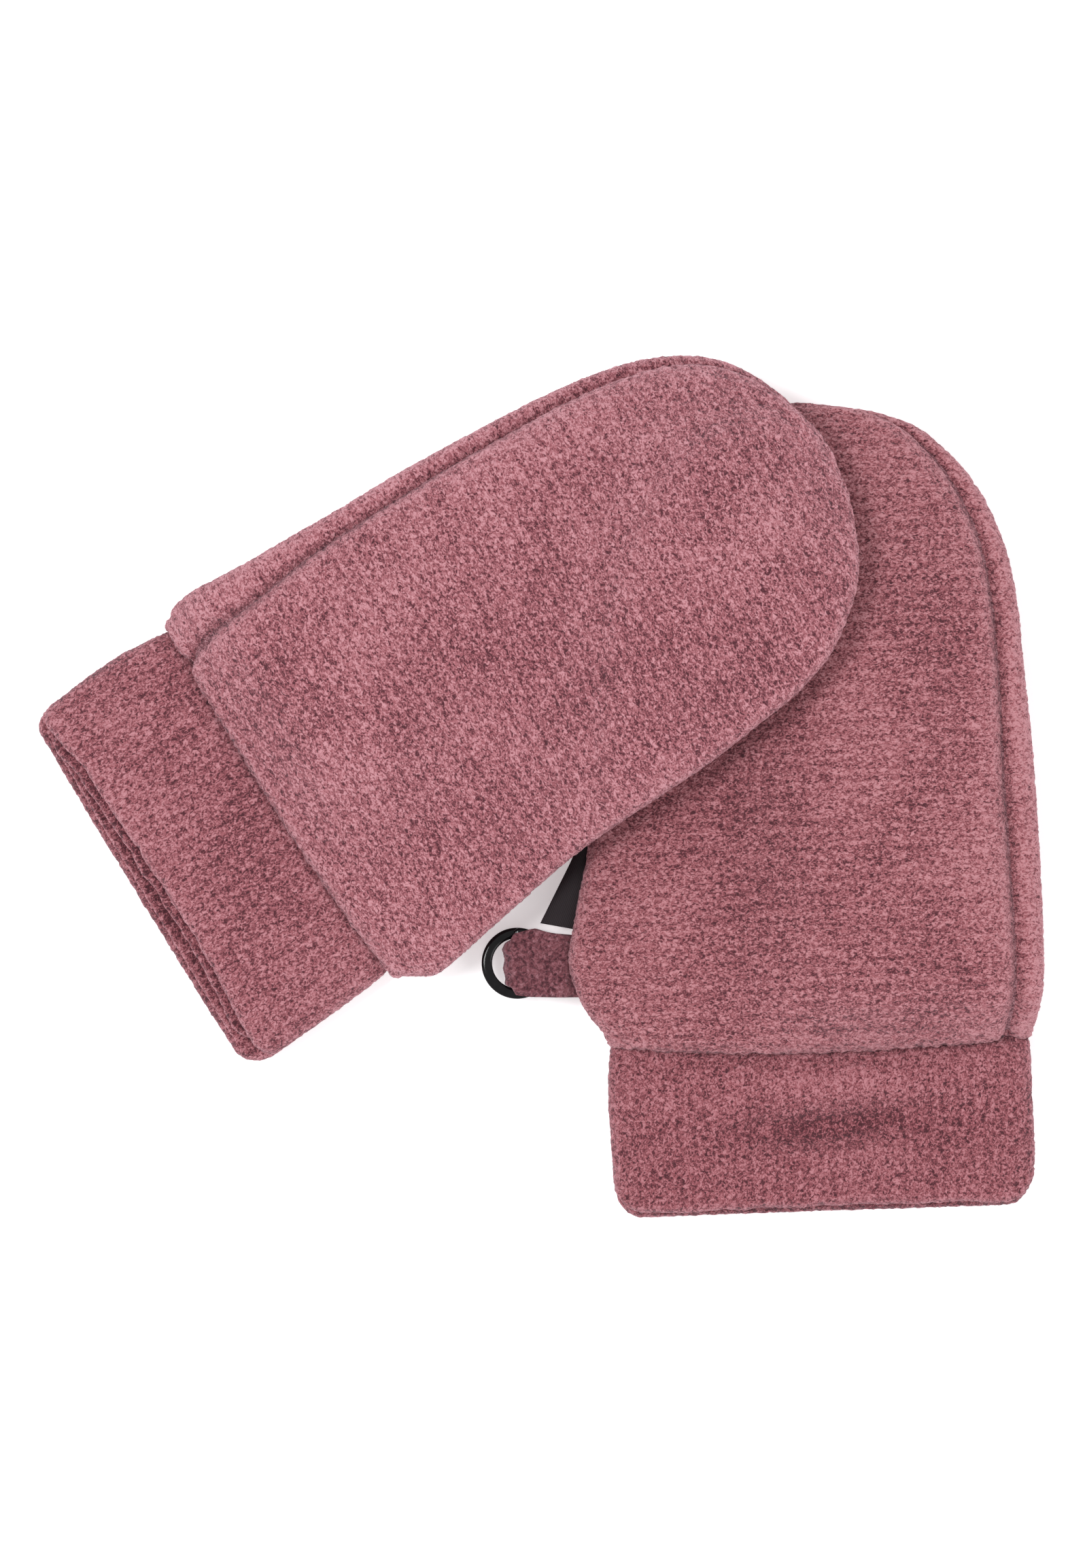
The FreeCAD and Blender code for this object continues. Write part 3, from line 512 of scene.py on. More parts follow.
def plush_material(name, angle, colours, grain=1.0, sheen=0.24, rows=(0.72, 1.0, 0.85),
                   band="Y"):
    """Curled fleece pile: clumps from the mesh, fibres from fine noise."""
    m, nt, bsdf = new_material(name)
    tc = nt.nodes.new("ShaderNodeTexCoord")
    mp = nt.nodes.new("ShaderNodeMapping")
    mp.inputs["Rotation"].default_value = (0, 0, -math.radians(angle - 90.0))
    nt.links.new(tc.outputs["Object"], mp.inputs["Vector"])
    sc = nt.nodes.new("ShaderNodeMapping")
    sc.inputs["Scale"].default_value = rows
    nt.links.new(mp.outputs[0], sc.inputs["Vector"])
    vec = sc.outputs[0]
    curl = noise_tex(nt, vec, 1850.0 * grain, 3.0, 0.6, 0.9)
    fibre = noise_tex(nt, vec, 3300.0 * grain, 2.0, 0.6, 0.4)
    cloud = noise_tex(nt, mp.outputs[0], 55.0, 3.0, 0.6)
    patch = noise_tex(nt, mp.outputs[0], 240.0, 2.0, 0.5)
    at = nt.nodes.new("ShaderNodeAttribute")
    at.attribute_name = "pile"
    fur = at.outputs["Fac"]
    painted_shade_node = nt.nodes.new("ShaderNodeAttribute")
    painted_shade_node.attribute_name = "painted_shade_highlight"
    rows_ = nt.nodes.new("ShaderNodeTexWave")
    rows_.bands_direction = band
    rows_.inputs["Scale"].default_value = 115.0
    rows_.inputs["Distortion"].default_value = 3.2
    rows_.inputs["Detail"].default_value = 3.0
    rows_.inputs["Detail Scale"].default_value = 2.5
    nt.links.new(mp.outputs[0], rows_.inputs["Vector"])
    # the pile's height is painted into the colour: painted shade in its hollows, painted highlight on its tips
    x = math_node(nt, "MULTIPLY", fur, 0.34)
    x = math_node(nt, "MULTIPLY_ADD", curl, 3.3, x)
    x = math_node(nt, "MULTIPLY_ADD", fibre, 1.5, x)
    x = math_node(nt, "MULTIPLY_ADD", cloud, 0.42, x)
    x = math_node(nt, "MULTIPLY_ADD", patch, 0.22, x)
    x = math_node(nt, "MULTIPLY_ADD", rows_.outputs[1], 0.15, x)
    # painted shade and highlight from the mesh's attribute: deeper places darker, rims and crests lighter
    x = math_node(nt, "MULTIPLY_ADD", painted_shade_node.outputs["Fac"], 0.17, x)
    x = math_node(nt, "SUBTRACT", x, 2.41, clamp=True)
    col = ramp(nt, x, colours)
    nt.links.new(col, bsdf.inputs["Base Color"])
    hgt = math_node(nt, "MULTIPLY", curl, 0.75)
    hgt = math_node(nt, "MULTIPLY_ADD", fibre, 0.35, hgt)
    bump = nt.nodes.new("ShaderNodeBump")
    bump.inputs["Strength"].default_value = 0.8
    bump.inputs["Distance"].default_value = 0.0006
    nt.links.new(hgt, bump.inputs["Height"])
    nt.links.new(bump.outputs[0], bsdf.inputs["Normal"])
    rough = math_node(nt, "MULTIPLY_ADD", fibre, 0.12, 0.84)
    nt.links.new(rough, bsdf.inputs["Roughness"])
    bsdf.inputs["Specular IOR Level"].default_value = 0.12
    bsdf.inputs["Sheen Weight"].default_value = sheen
    bsdf.inputs["Sheen Roughness"].default_value = 0.65
    bsdf.inputs["Sheen Tint"].default_value = (0.95, 0.78, 0.86, 1.0)
    return m


def tint(stops, k):
    """The same colours, darker or lighter by k for each channel."""
    return [(pos, (c[0] * k[0], c[1] * k[1], c[2] * k[2], 1.0)) for pos, c in stops]


ROSE = [(0.0, srgb(80, 34, 44)), (0.25, srgb(122, 67, 77)), (0.5, srgb(162, 101, 109)),
        (0.75, srgb(188, 131, 139)), (1.0, srgb(213, 165, 173))]
ROSE_TOP = tint(ROSE, (0.81, 0.67, 0.68))
ROSE_LOW = tint(ROSE, (0.725, 0.565, 0.565))
ROSE_DEEP = tint(ROSE, (0.62, 0.56, 0.57))
ROSE_TAB = tint(ROSE, (0.47, 0.38, 0.40))
PLUSH = {"left": plush_material("plush_left", 92.0, ROSE_LOW),
         "right": plush_material("plush_right", 32.0, ROSE_TOP)}
INNER = {"left": plush_material("inner_left", 92.0, ROSE_DEEP, 1.2, 0.3),
         "right": plush_material("inner_right", 32.0, ROSE_DEEP, 1.2, 0.3)}


def thread_material():
    m, nt, bsdf = new_material("seam_stitches")
    tc = nt.nodes.new("ShaderNodeTexCoord")
    tw = noise_tex(nt, tc.outputs["Object"], 2600.0, 2.0, 0.6, 0.3)
    nt.links.new(ramp(nt, tw, [(0.2, srgb(84, 38, 48)), (0.8, srgb(128, 68, 80))]),
                 bsdf.inputs["Base Color"])
    bump = nt.nodes.new("ShaderNodeBump")
    bump.inputs["Strength"].default_value = 0.5
    bump.inputs["Distance"].default_value = 0.0001
    nt.links.new(tw, bump.inputs["Height"])
    nt.links.new(bump.outputs[0], bsdf.inputs["Normal"])
    bsdf.inputs["Roughness"].default_value = 0.75
    return m


THREAD = thread_material()


# ------------------------------------------------------------------ cuffs
def cuff_section(which, th_n):
    """Unit closed loop of the cuff: places and outward directions, evenly spaced."""
    a = {"left": 40.8, "right": 39.2}[which]
    b, p = 6.0, 3.0
    ph = np.linspace(0, 2 * math.pi, 2000, endpoint=False)
    x, z = a * spow(np.cos(ph), 2 / p), b * spow(np.sin(ph), 2 / p)
    xs, zs = np.append(x, x[0]), np.append(z, z[0])
    s = np.concatenate([[0], np.cumsum(np.hypot(np.diff(xs), np.diff(zs)))])
    want = np.linspace(0, s[-1], th_n, endpoint=False)
    x, z = np.interp(want, s, xs), np.interp(want, s, zs)
    dx = np.roll(x, -1) - np.roll(x, 1)
    dz = np.roll(z, -1) - np.roll(z, 1)
    ln = np.hypot(dx, dz)
    return x, z, dz / ln, -dx / ln


def resample(pts, step):
    p = np.array(pts, float)
    s = np.concatenate([[0], np.cumsum(np.hypot(*np.diff(p, axis=0).T))])
    n = max(4, int(round(s[-1] / step)))
    w = np.linspace(0, s[-1], n + 1)
    return np.stack([np.interp(w, s, p[:, 0]), np.interp(w, s, p[:, 1])], -1)


def arc_pts(cx, cy, r, a0, a1, n=14):
    t = np.radians(np.linspace(a0, a1, n))
    return [(cx + r * math.cos(k), cy + r * math.sin(k)) for k in t]


# the mouth's edge along the cuff: how far the top layer and the lower layer stand in
MOUTH = {
    "left": {"top": [(-41, 0.9), (-20, 1.0), (0, 1.1), (22, 1.0), (36, 0.7), (41, 0.4)],
             "low": [(-41, -0.1), (0, -0.1), (41, -0.2)], "corner": (5.0, 5.6),
             "edge": ([(0, 0.7), (6, 0.8), (20, 1.4), (33, 0.9)],
                      [(0, -0.2), (12, 0.2), (24, 0.0), (33, 0.2)])},
    "right": {"top": [(-39, 0.9), (-32, 1.5), (-24, 2.3), (-8, 2.7), (10, 2.3), (26, 1.7),
                      (38.5, -0.1)],
              "low": [(-39, -2.4), (-27, -2.8), (-13, -2.7), (3, -2.6), (17, -2.5),
                      (31, -2.1), (36, -2.0), (39, -1.9)], "corner": (4.2, 2.6),
              "edge": ([(-3, 1.9), (1, 1.9), (12, 1.3), (22, 0.6), (33, -0.1)],
                       [(-3, 0.6), (2, 1.1), (12, 2.0), (20, 2.3), (33, 1.4)])},
}


def at(tab, x):
    tab = np.array(tab, float)
    return np.interp(x, tab[:, 0], tab[:, 1])


def mouth_line(which, x, z):
    """How far the cuff's mouth stands in from v = 0 at this place of the section."""
    a = {"left": 40.8, "right": 39.2}[which]
    m = MOUTH[which]
    top = smooth(z, -3.2, 4.2)
    v = at(m["top"], x) * top + at(m["low"], x) * (1 - top)
    for sgn, r in zip((-1, 1), m["corner"]):
        k = np.clip((sgn * x - (a - r)) / r, 0.0, 0.985)
        v = v + r * (1 - np.sqrt(1 - k * k)) * 0.95
    return v


def make_cuff(which, seed):
    f = FRAMES[which]
    th = int(round(182.0 / STEP))
    x, z, nx, nz = cuff_section(which, th)
    outer = [(33.4, -3.0), (32.6, -2.3), (31.6, -1.5), (30.2, -0.8), (28.0, -0.25),
             (25.0, 0.0), (2.6, 0.0)]
    fold = [(1.7 - 1.65 * math.cos(math.radians(k)), -1.6 + 1.6 * math.sin(math.radians(k)))
            for k in np.linspace(90, -80, 18)]
    ridge = [(2.4, -3.05)] + \
        [(2.2 - 1.0 * math.cos(math.radians(k)), -3.85 + 0.75 * math.sin(math.radians(k)))
         for k in np.linspace(78, -85, 14)]
    inside = [(3.0, -4.68), (6.0, -4.55), (14.0, -4.2), (24.0, -3.8), (33.4, -3.6)]
    prof = resample(outer + fold, STEP)
    prof2 = resample([tuple(prof[-1])] + ridge + [(3.0, -4.68)], STEP * 0.9)[1:]
    prof3 = resample([tuple(prof2[-1])] + inside, 1.2)[1:]
    pr = np.concatenate([prof, prof2, prof3])
    outer_n, lip_n = len(prof), len(prof) + len(prof2)
    v = pr[:, 0][None, :] * np.ones((th, 1))
    n = pr[:, 1][None, :] * np.ones((th, 1))
    n = np.where((n > -3.3) & (v > 24.0), n * (0.3 + 0.7 * np.abs(nz)[:, None]), n)
    idx = np.arange(len(pr))[None, :]
    is_out, is_lip = idx < outer_n, (idx >= outer_n) & (idx < lip_n)
    topness = smooth(z, -3.2, 4.2)[:, None]
    m = mouth_line(which, x, z)[:, None]
    # the lining slips out past the top layer's fold
    slip = {"left": 0.25, "right": 2.9}[which] * topness * \
        smooth(40.0 - np.abs(x)[:, None], 1.5, 9.0)
    v = v + 0.5 * topness * (1.0 - smooth(v, 1.0, 12.0)) * \
        perlin(np.stack([x[:, None] / 6.0 + 0 * v, 0 * v + 3.3, 0 * v], -1), 43)
    slip = slip + 0.5 * perlin(np.stack([x[:, None] / 7.0 + 0 * v, 0 * v, 0 * v], -1), 41) * \
        topness
    near = 1.0 - smooth(v, 1.0, 22.0)
    ramp_in = np.clip((idx - outer_n + 3) / 5.0, 0.0, 1.0)
    v = v + m * near - slip * ramp_in * (1.0 - smooth(v, 3.0, 14.0))
    lo, hi = MOUTH[which]["edge"]
    side = smooth(np.abs(x)[:, None], 18.0, 39.0)
    wide = np.where(x[:, None] < 0, -at(lo, v), at(hi, v)) * side
    U = 0.6 + x[:, None] + nx[:, None] * n + wide
    Z = 6.0 + z[:, None] + nz[:, None] * n
    # inner layers may not cross the section's middle
    Z = np.where(z[:, None] > 0, np.maximum(Z, 6.0 + 0.35), np.minimum(Z, 6.0 - 0.35))
    hem = hem_shift(which, U, np.full_like(U, 31.8))
    v = v + hem * smooth(v, 8.0, 31.0)

    def dent(u0, v0, ru, rv, depth, slope=0.0):
        return depth * np.exp(-((U - u0) / ru) ** 2 - ((v - v0 - slope * (U - u0)) / rv) ** 2)
    move = perlin(np.stack([U / 17.0, v / 13.0, Z / 30.0], -1), seed) * 0.7
    if which == "left":
        move -= dent(2.0, 17.0, 20.0, 3.8, 2.4, 0.07) + dent(22.0, 12.0, 11.0, 4.0, 0.7, 0.3)
        move += dent(2.0, 10.0, 22.0, 3.4, 0.7) + dent(0.0, 25.0, 24.0, 3.4, 0.5)
    else:
        move -= dent(-16.0, 18.0, 12.0, 7.0, 0.8) + dent(18.0, 21.0, 12.0, 5.0, 0.6)
        move += dent(6.0, 9.0, 20.0, 5.0, 0.4)
    top = smooth(z, 0.0, 5.0)[:, None]
    move = move * (0.15 + 0.85 * top)
    move = np.where(is_out, move * smooth(v, 1.0, 7.0) * smooth(33.0 - v, 1.0, 6.0), 0.0)
    P = f.world(U, v, Z)
    N = grid_normals(P, wrap_r=True, wrap_c=False)
    ref = f.world(U + nx[:, None], v, Z + nz[:, None]) - P
    k = outer_n // 3
    if (N[:, k] * ref[:, k]).sum() < 0:
        N = -N
    Q = np.stack([U, v + np.where(is_out, 0.0, 60.0), Z], -1)
    fur = pile(Q, seed + 5, 1.25, 1.1)
    amp = np.where(is_out, 0.46, np.where(is_lip, 0.36, 0.2))
    P2 = P + N * (move + (fur - 0.4) * amp)[..., None]
    P2[..., 2] = np.clip(P2[..., 2], 0.05, None)
    step_in = (idx - outer_n) / float(lip_n - outer_n)
    # painted shade and highlight: darker where the outer layer runs into the fold, along the lip's edges and all over
    # the inside; lighter along the mouth's edge and on the lip's crest; the dents of move are painted darker too
    painted_fold_shade_highlight = np.where(is_out, np.where((idx > outer_n - 5), -1.0, 0.0) +
                    0.5 * np.exp(-((v - m - 1.0) / 1.2) ** 2) * (n > -1.6),
                    np.where(is_lip, -1.7 + 2.2 * np.exp(-((step_in - 0.5) / 0.22) ** 2), -1.9))
    rows, cols = P2.shape[:2]
    polys = [grid_quads(rows, cols, wrap_r=True, wrap_c=True)]
    build(which + "_cuff_plush", P2.reshape(-1, 3), polys, which + "_mitten",
          [which + "_cuff", which + "_cuff_lining"], PLUSH_CUFF[which],
          {"pile": fur.ravel(),
           "painted_shade_highlight": (np.clip(move, -1.6, 0.8) * 0.8 + painted_fold_shade_highlight).ravel()})


PLUSH_CUFF = {
    "left": plush_material("plush_cuff_left", 92.0, tint(ROSE, (0.66, 0.48, 0.49)), 1.0, 0.24, (0.9, 0.8, 0.85), "X"),
    "right": plush_material("plush_cuff_right", 32.0, tint(ROSE, (0.72, 0.56, 0.57)), 1.0, 0.24, (1.0, 0.7, 0.85), "X")}


# ------------------------------------------------------------------ thumbs
THUMB_P = np.array([-16.0, -15.0, -12.5, -8.5, -3.0, 4.0, 12.0, 20.0, 28.0, 35.0, 41.0,
                    45.5, 48.7, 50.4, 51.0])
THUMB_W = np.array([4.0, 7.2, 10.6, 13.6, 15.8, 16.1, 15.6, 15.0, 14.2, 12.9, 11.0,
                    8.7, 6.0, 4.0, 2.6])
# the left thumb's outer edge stays tucked under the palm's rim
THUMB_X = -np.array([0.0, 0.2, 0.4, 0.5, 0.8, 1.1, 1.3, 1.7, 1.9, 1.6, 0.9, 0.4, 0.0, 0.0, 0.0])
THUMB_H = np.array([0.0, 1.1, 2.1, 2.9, 3.4, 3.5, 3.5, 3.5, 3.5, 3.4, 3.1, 2.6, 1.8, 0.9, 0.0])
TH_IN_P = np.array([-1.15, -0.95, -0.6, -0.25, 0, 0, 0, 0, 0, 0, 0.05, 0.2, 0.5, 0.75, 0.95])
TH_IN_Z = np.array([0.0, 0.3, 0.6, 0.85, 0.97, 1, 1, 1, 1, 0.98, 0.92, 0.8, 0.58, 0.27, 0.0])
TH_IN_W = np.array([0.2, 0.45, 0.7, 0.9, 1, 1, 1, 1, 1, 1, 0.95, 0.85, 0.65, 0.4, 0.2])


def thumb(which, depth, part, t, cols):
    f, LEAN = FRAMES[which], LEANS[which]
    p = spline(THUMB_P, t) - depth * spline(TH_IN_P, t)
    a = spline(THUMB_W, t) - depth * spline(TH_IN_W, t)
    b = np.maximum(0.0, spline(THUMB_H, t) - depth * spline(TH_IN_Z, t))
    b = b * 0.985 if depth == 0 else np.maximum(b, 0.06)
    extra = spline(THUMB_X, t) * (1.0 if which == "left" else 0.0)
    fr = np.linspace(0, 1, 200)
    Qq = np.zeros((len(t), cols)); Zz = np.zeros((len(t), cols)); S = np.zeros((len(t), cols))
    for k in range(len(t)):
        ph = math.pi * fr + (0.0 if part == "top" else math.pi)
        x = a[k] * spow(np.cos(ph), 2 / 2.3)
        x = x + extra[k] * np.clip(x / max(a[k], 1e-6), 0.0, 1.0)
        z = b[k] * spow(np.sin(ph), 2 / 2.3)
        s = np.concatenate([[0], np.cumsum(np.hypot(np.diff(x), np.diff(z)))])
        w = np.linspace(0.1, s[-1] - 0.1, cols)
        Qq[k], Zz[k] = np.interp(w, s, x), 3.5 + np.interp(w, s, z)
        S[k] = np.minimum(w, s[-1] - w)
    pp = p[:, None] * np.ones((1, cols))
    U = PIVOT_U - pp * math.sin(LEAN) + Qq * math.cos(LEAN)
    V = PIVOT_V + pp * math.cos(LEAN) + Qq * math.sin(LEAN)
    return f.world(U, V, Zz), np.stack([U, V, Zz], -1), S


def make_thumb(which, seed):
    q = 4
    tt = np.linspace(0, len(THUMB_P) - 1, 600)
    p, h = spline(THUMB_P, tt), spline(THUMB_H, tt)
    w = spline(THUMB_W, tt)
    s = np.concatenate([[0], np.cumsum(np.hypot(np.diff(p), np.diff(h)) + 0.3 * np.abs(np.diff(w)))])
    n = int(round(s[-1] / STEP / q)) * q
    t = np.interp(np.linspace(0, s[-1], n + 1), s, tt)
    cols = int(round(36.0 / STEP / q)) * q + 1
    for part in ("top", "under"):
        P, Q, S = thumb(which, 0.0, part, t, cols)
        N = grid_normals(P)
        up = N[..., 2].mean() > 0
        if up != (part == "top"):
            N = -N
        fur = pile(Q, seed + (3 if part == "top" else 8))
        move = -groove(S, 0.8, 1.8) + (fur - 0.7) * 0.34
        P2 = P + N * move[..., None]
        P2[..., 2] = np.clip(P2[..., 2], 0.05, 6.95)
        inner, _, _ = thumb(which, 1.7, part, t[::q], (cols - 1) // q + 1)
        verts, polys = shell(P2, inner, q)
        pad = np.full(inner.shape[0] * inner.shape[1], 0.3)
        # painted shade: the seam groove and pile hollows are made darker in the colour by their depth
        build("%s_thumb_%s_plush" % (which, part), verts, polys, which + "_thumb",
              ["%s_thumb_%s" % (which, part)], PLUSH[which],
              {"pile": np.concatenate([fur.ravel(), pad]), "painted_shade_highlight": np.concatenate([move.ravel(), pad * 0])})
    t2 = t[::max(1, int(round(1.5 / STEP)))]
    if t2[-1] < t[-1]:
        t2 = np.append(t2, t[-1])
    c2 = 25
    A, QA, _ = thumb(which, 1.9, "top", t2, c2)
    B, _, _ = thumb(which, 1.9, "under", t2, c2)
    # one closed bag: top and under share their edges
    r = len(t2)
    verts = np.concatenate([A.reshape(-1, 3), B.reshape(-1, 3)])
    quads = np.concatenate([grid_quads(r, c2), grid_quads(r, c2, r * c2)[:, ::-1]])
    rim = []
    for i in range(r - 1):
        rim.append([i * c2, (i + 1) * c2, r * c2 + (i + 1) * c2 + c2 - 1, r * c2 + i * c2 + c2 - 1])
        rim.append([i * c2 + c2 - 1, (i + 1) * c2 + c2 - 1, r * c2 + (i + 1) * c2, r * c2 + i * c2])
    for j in range(c2 - 1):
        for row in (0, r - 1):
            rim.append([row * c2 + j, row * c2 + j + 1, r * c2 + row * c2 + c2 - 2 - j,
                        r * c2 + row * c2 + c2 - 1 - j])
    fur = pile(np.concatenate([QA.reshape(-1, 3)] * 2), seed + 12)
    build(which + "_thumb_inner", verts, [quads, np.array(rim)], which + "_thumb",
          [which + "_thumb_lining"], INNER[which],
          {"pile": fur, "painted_shade_highlight": fur * 0})


# ------------------------------------------------------------------ seams
def tube(path, radius, sides=6, closed=False, squash=1.0, up=(0.0, 0.0, 1.0)):
    p = np.asarray(path, float)
    tan = np.gradient(p, axis=0) if not closed else np.roll(p, -1, 0) - np.roll(p, 1, 0)
    tan /= np.linalg.norm(tan, axis=1, keepdims=True)
    side = np.cross(tan, np.array(up))
    side /= np.maximum(np.linalg.norm(side, axis=1, keepdims=True), 1e-6)
    nrm = np.cross(side, tan)
    rad = np.asarray(radius) * np.ones(len(p))
    ang = np.linspace(0, 2 * math.pi, sides, endpoint=False)
    ring = (p[:, None] + rad[:, None, None] *
            (np.cos(ang)[None, :, None] * side[:, None] + squash * np.sin(ang)[None, :, None] * nrm[:, None]))
    n = len(p)
    polys = [grid_quads(n, sides, wrap_r=closed, wrap_c=True)]
    if not closed:
        polys.append(np.array([list(range(sides))[::-1]]))
        polys.append(np.array([[(n - 1) * sides + j for j in range(sides)]]))
    return ring.reshape(-1, 3), polys


def make_seams(which):
    t = rows_for(which, 0.6, 1)
    t = t[(t > 3.0) & (t < 20.9)]
    P, Q, s0, s1 = hand(which, 1.95, "back", t, 40)
    a, b = P[:, 0], P[:, -1]
    path = np.concatenate([a, b[::-1]])
    d = np.linalg.norm(np.diff(path, axis=0), axis=1)
    s = np.concatenate([[0], np.cumsum(d)])
    w = np.arange(0, s[-1], 0.45)
    path = np.stack([np.interp(w, s, path[:, k]) for k in range(3)], -1)
    beads = 0.30 + 0.10 * np.abs(np.sin(w / 2.4 * math.pi))      # stitches 2.4 mm long
    v, polys = tube(path, beads, 6)
    build(which + "_side_stitches", v, polys, which + "_mitten", [which + "_side_seam"],
          THREAD)
    x, z, nx, nz = cuff_section(which, 300)
    U, Z = 0.6 + x - nx * 1.9, 6.0 + z - nz * 1.9
    V = 31.7 + hem_shift(which, U, np.full_like(U, 31.8))
    P = FRAMES[which].world(U, V, Z)
    P = np.concatenate([P, P[:1]])
    s = np.concatenate([[0], np.cumsum(np.linalg.norm(np.diff(P, axis=0), axis=1))])
    w = np.linspace(0, s[-1], 288, endpoint=False)
    P = np.stack([np.interp(w, s, P[:, k]) for k in range(3)], -1)
    ev = FRAMES[which].ev
    v, polys = tube(P, 0.32 + 0.1 * np.abs(np.sin(np.arange(288) * math.pi / 4)), 6,
                    closed=True, up=(ev[0], ev[1], 0.0))
    build(which + "_wrist_stitches", v, polys, which + "_mitten", [which + "_wrist_seam"],
          THREAD)


# ------------------------------------------------------------------ tab, ring, label
TAB_U, TAB_V, TAB_Z = -50.5, 50.7, 5.6
RING_U, RING_V = -58.6, 50.7


def tab_material():
    m, nt, bsdf = new_material("tab_fleece")
    tc = nt.nodes.new("ShaderNodeTexCoord")
    mp = nt.nodes.new("ShaderNodeMapping")
    mp.inputs["Rotation"].default_value = (0, 0, math.radians(-2.0))
    nt.links.new(tc.outputs["Object"], mp.inputs["Vector"])
    wave = nt.nodes.new("ShaderNodeTexWave")
    wave.wave_type = "BANDS"
    wave.bands_direction = "X"
    wave.inputs["Scale"].default_value = 210.0
    wave.inputs["Distortion"].default_value = 4.5
    wave.inputs["Detail"].default_value = 2.0
    wave.inputs["Detail Scale"].default_value = 3.0
    nt.links.new(mp.outputs[0], wave.inputs["Vector"])
    n1 = noise_tex(nt, mp.outputs[0], 1500.0, 3.0, 0.6, 0.6)
    n2 = noise_tex(nt, mp.outputs[0], 420.0, 2.0, 0.5)
    x = math_node(nt, "MULTIPLY", wave.outputs[1], 0.16)
    x = math_node(nt, "MULTIPLY_ADD", n1, 2.5, x)
    x = math_node(nt, "MULTIPLY_ADD", n2, 0.5, x)
    x = math_node(nt, "SUBTRACT", x, 1.13, clamp=True)
    nt.links.new(ramp(nt, x, ROSE_TAB), bsdf.inputs["Base Color"])
    bump = nt.nodes.new("ShaderNodeBump")
    bump.inputs["Strength"].default_value = 0.8
    bump.inputs["Distance"].default_value = 0.0004
    nt.links.new(x, bump.inputs["Height"])
    nt.links.new(bump.outputs[0], bsdf.inputs["Normal"])
    bsdf.inputs["Roughness"].default_value = 0.88
    bsdf.inputs["Specular IOR Level"].default_value = 0.15
    bsdf.inputs["Sheen Weight"].default_value = 0.3
    bsdf.inputs["Sheen Roughness"].default_value = 0.6
    bsdf.inputs["Sheen Tint"].default_value = (0.95, 0.7, 0.78, 1.0)
    return m


def blend_tab(obj):
    """The tab's root already sits in the side seam; this bakes the tab's transform into its mesh."""
    a = LEFT.world(TAB_U + 3.0, TAB_V, TAB_Z) * 0.001
    b = LEFT.world(TAB_U - 1.2, TAB_V, TAB_Z) * 0.001
    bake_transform(obj)


def make_tab():
    """Ribbon of fleece: out over the ring's wire, round and back, gathered at the fold."""
    step = 0.3
    reach, r = 8.0, 2.8
    line = [(x, 2.2) for x in np.linspace(-0.6, reach, 30)]
    root = [(-4.9, 0.7), (-3.9, 0.75), (-3.0, 0.95), (-2.2, 1.35), (-1.4, 1.85)]
    bend = [(reach + 2.2 * math.sin(k), 2.2 * math.cos(k)) for k in np.linspace(0, math.pi, 24)]
    back = [(x, -2.2) for x in np.linspace(reach, -0.6, 30)]
    path = resample(root + line + bend[1:-1] + back + [(x, -z) for x, z in root[::-1]], step)
    n = len(path)
    tan = np.gradient(path, axis=0)
    tan /= np.linalg.norm(tan, axis=1, keepdims=True)
    nrm = np.stack([-tan[:, 1], tan[:, 0]], -1)
    outward_sign = 1.0 if nrm[len(root) + 12, 1] > 0 else -1.0
    nrm *= outward_sign
    m = int(round(13.4 / step))
    w = np.linspace(-1, 1, m + 1)
    # wide where it lies over the wire, narrow where the fold sits inside the ring
    half_up = np.interp(path[:, 0], [-3.9, 0.0, 2.0, 4.3, 5.7, 8.6, 9.25, 10.2],
                        [5.1, 5.5, 5.9, 6.7, 6.5, 5.8, 4.7, 4.2])
    half_dn = np.interp(path[:, 0], [-3.9, 0.0, 5.7, 8.6, 9.25, 10.2],
                        [7.1, 7.0, 6.7, 6.2, 4.8, 4.3])
    thick = 0.55
    layers = []
    for sgn in (1, -1):
        x = path[:, 0][:, None] * np.ones((1, m + 1))
        z = path[:, 1][:, None] * np.ones((1, m + 1))
        y = np.where(w[None, :] < 0, half_up[:, None], half_dn[:, None]) * w[None, :]
        q = np.stack([x, y, z * 2.0], -1)
        gather = np.sin(w[None, :] * 9.0 + perlin(q / 6.0, 5) * 2.0) * \
            smooth(x, 4.5, 9.5) * 0.22
        soft = perlin(q / np.array([4.0, 3.0, 3.0]), 77) * 0.22
        edge = (1 - np.abs(w[None, :]) ** 10)
        off = thick * edge ** 0.5 * sgn + (gather + soft) * (0.6 if sgn > 0 else 0.25)
        if sgn > 0:
            off = off + (pile(q + 40.0, 91, 0.9, 0.8) - 0.6) * 0.22
        # keep the eye of the loop clear for the ring
        X = x + nrm[:, 0][:, None] * off
        Z = z + nrm[:, 1][:, None] * off
        layers.append(np.stack([X, y, Z], -1))
    P, B = layers
    verts, polys = shell(P, B, 1)
    # local x runs outwards (towards smaller u), local y runs against v
    W = LEFT.world(TAB_U - verts[:, 0], TAB_V - verts[:, 1], TAB_Z + verts[:, 2])
    obj = build("left_tab_loop", W, polys, None, ["left_ring_tab"], tab_material())
    blend_tab(obj)


def ring_material():
    m, nt, bsdf = new_material("black_gloss")
    tc = nt.nodes.new("ShaderNodeTexCoord")
    n = noise_tex(nt, tc.outputs["Object"], 900.0, 3.0, 0.6)
    nt.links.new(ramp(nt, n, [(0.3, (0.003, 0.003, 0.0035, 1)), (0.8, (0.007, 0.006, 0.007, 1))]),
                 bsdf.inputs["Base Color"])
    nt.links.new(math_node(nt, "MULTIPLY_ADD", n, 0.08, 0.06), bsdf.inputs["Roughness"])
    bump = nt.nodes.new("ShaderNodeBump")
    bump.inputs["Strength"].default_value = 0.12
    bump.inputs["Distance"].default_value = 0.0001
    nt.links.new(n, bump.inputs["Height"])
    nt.links.new(bump.outputs[0], bsdf.inputs["Normal"])
    bsdf.inputs["Specular IOR Level"].default_value = 0.2
    return m


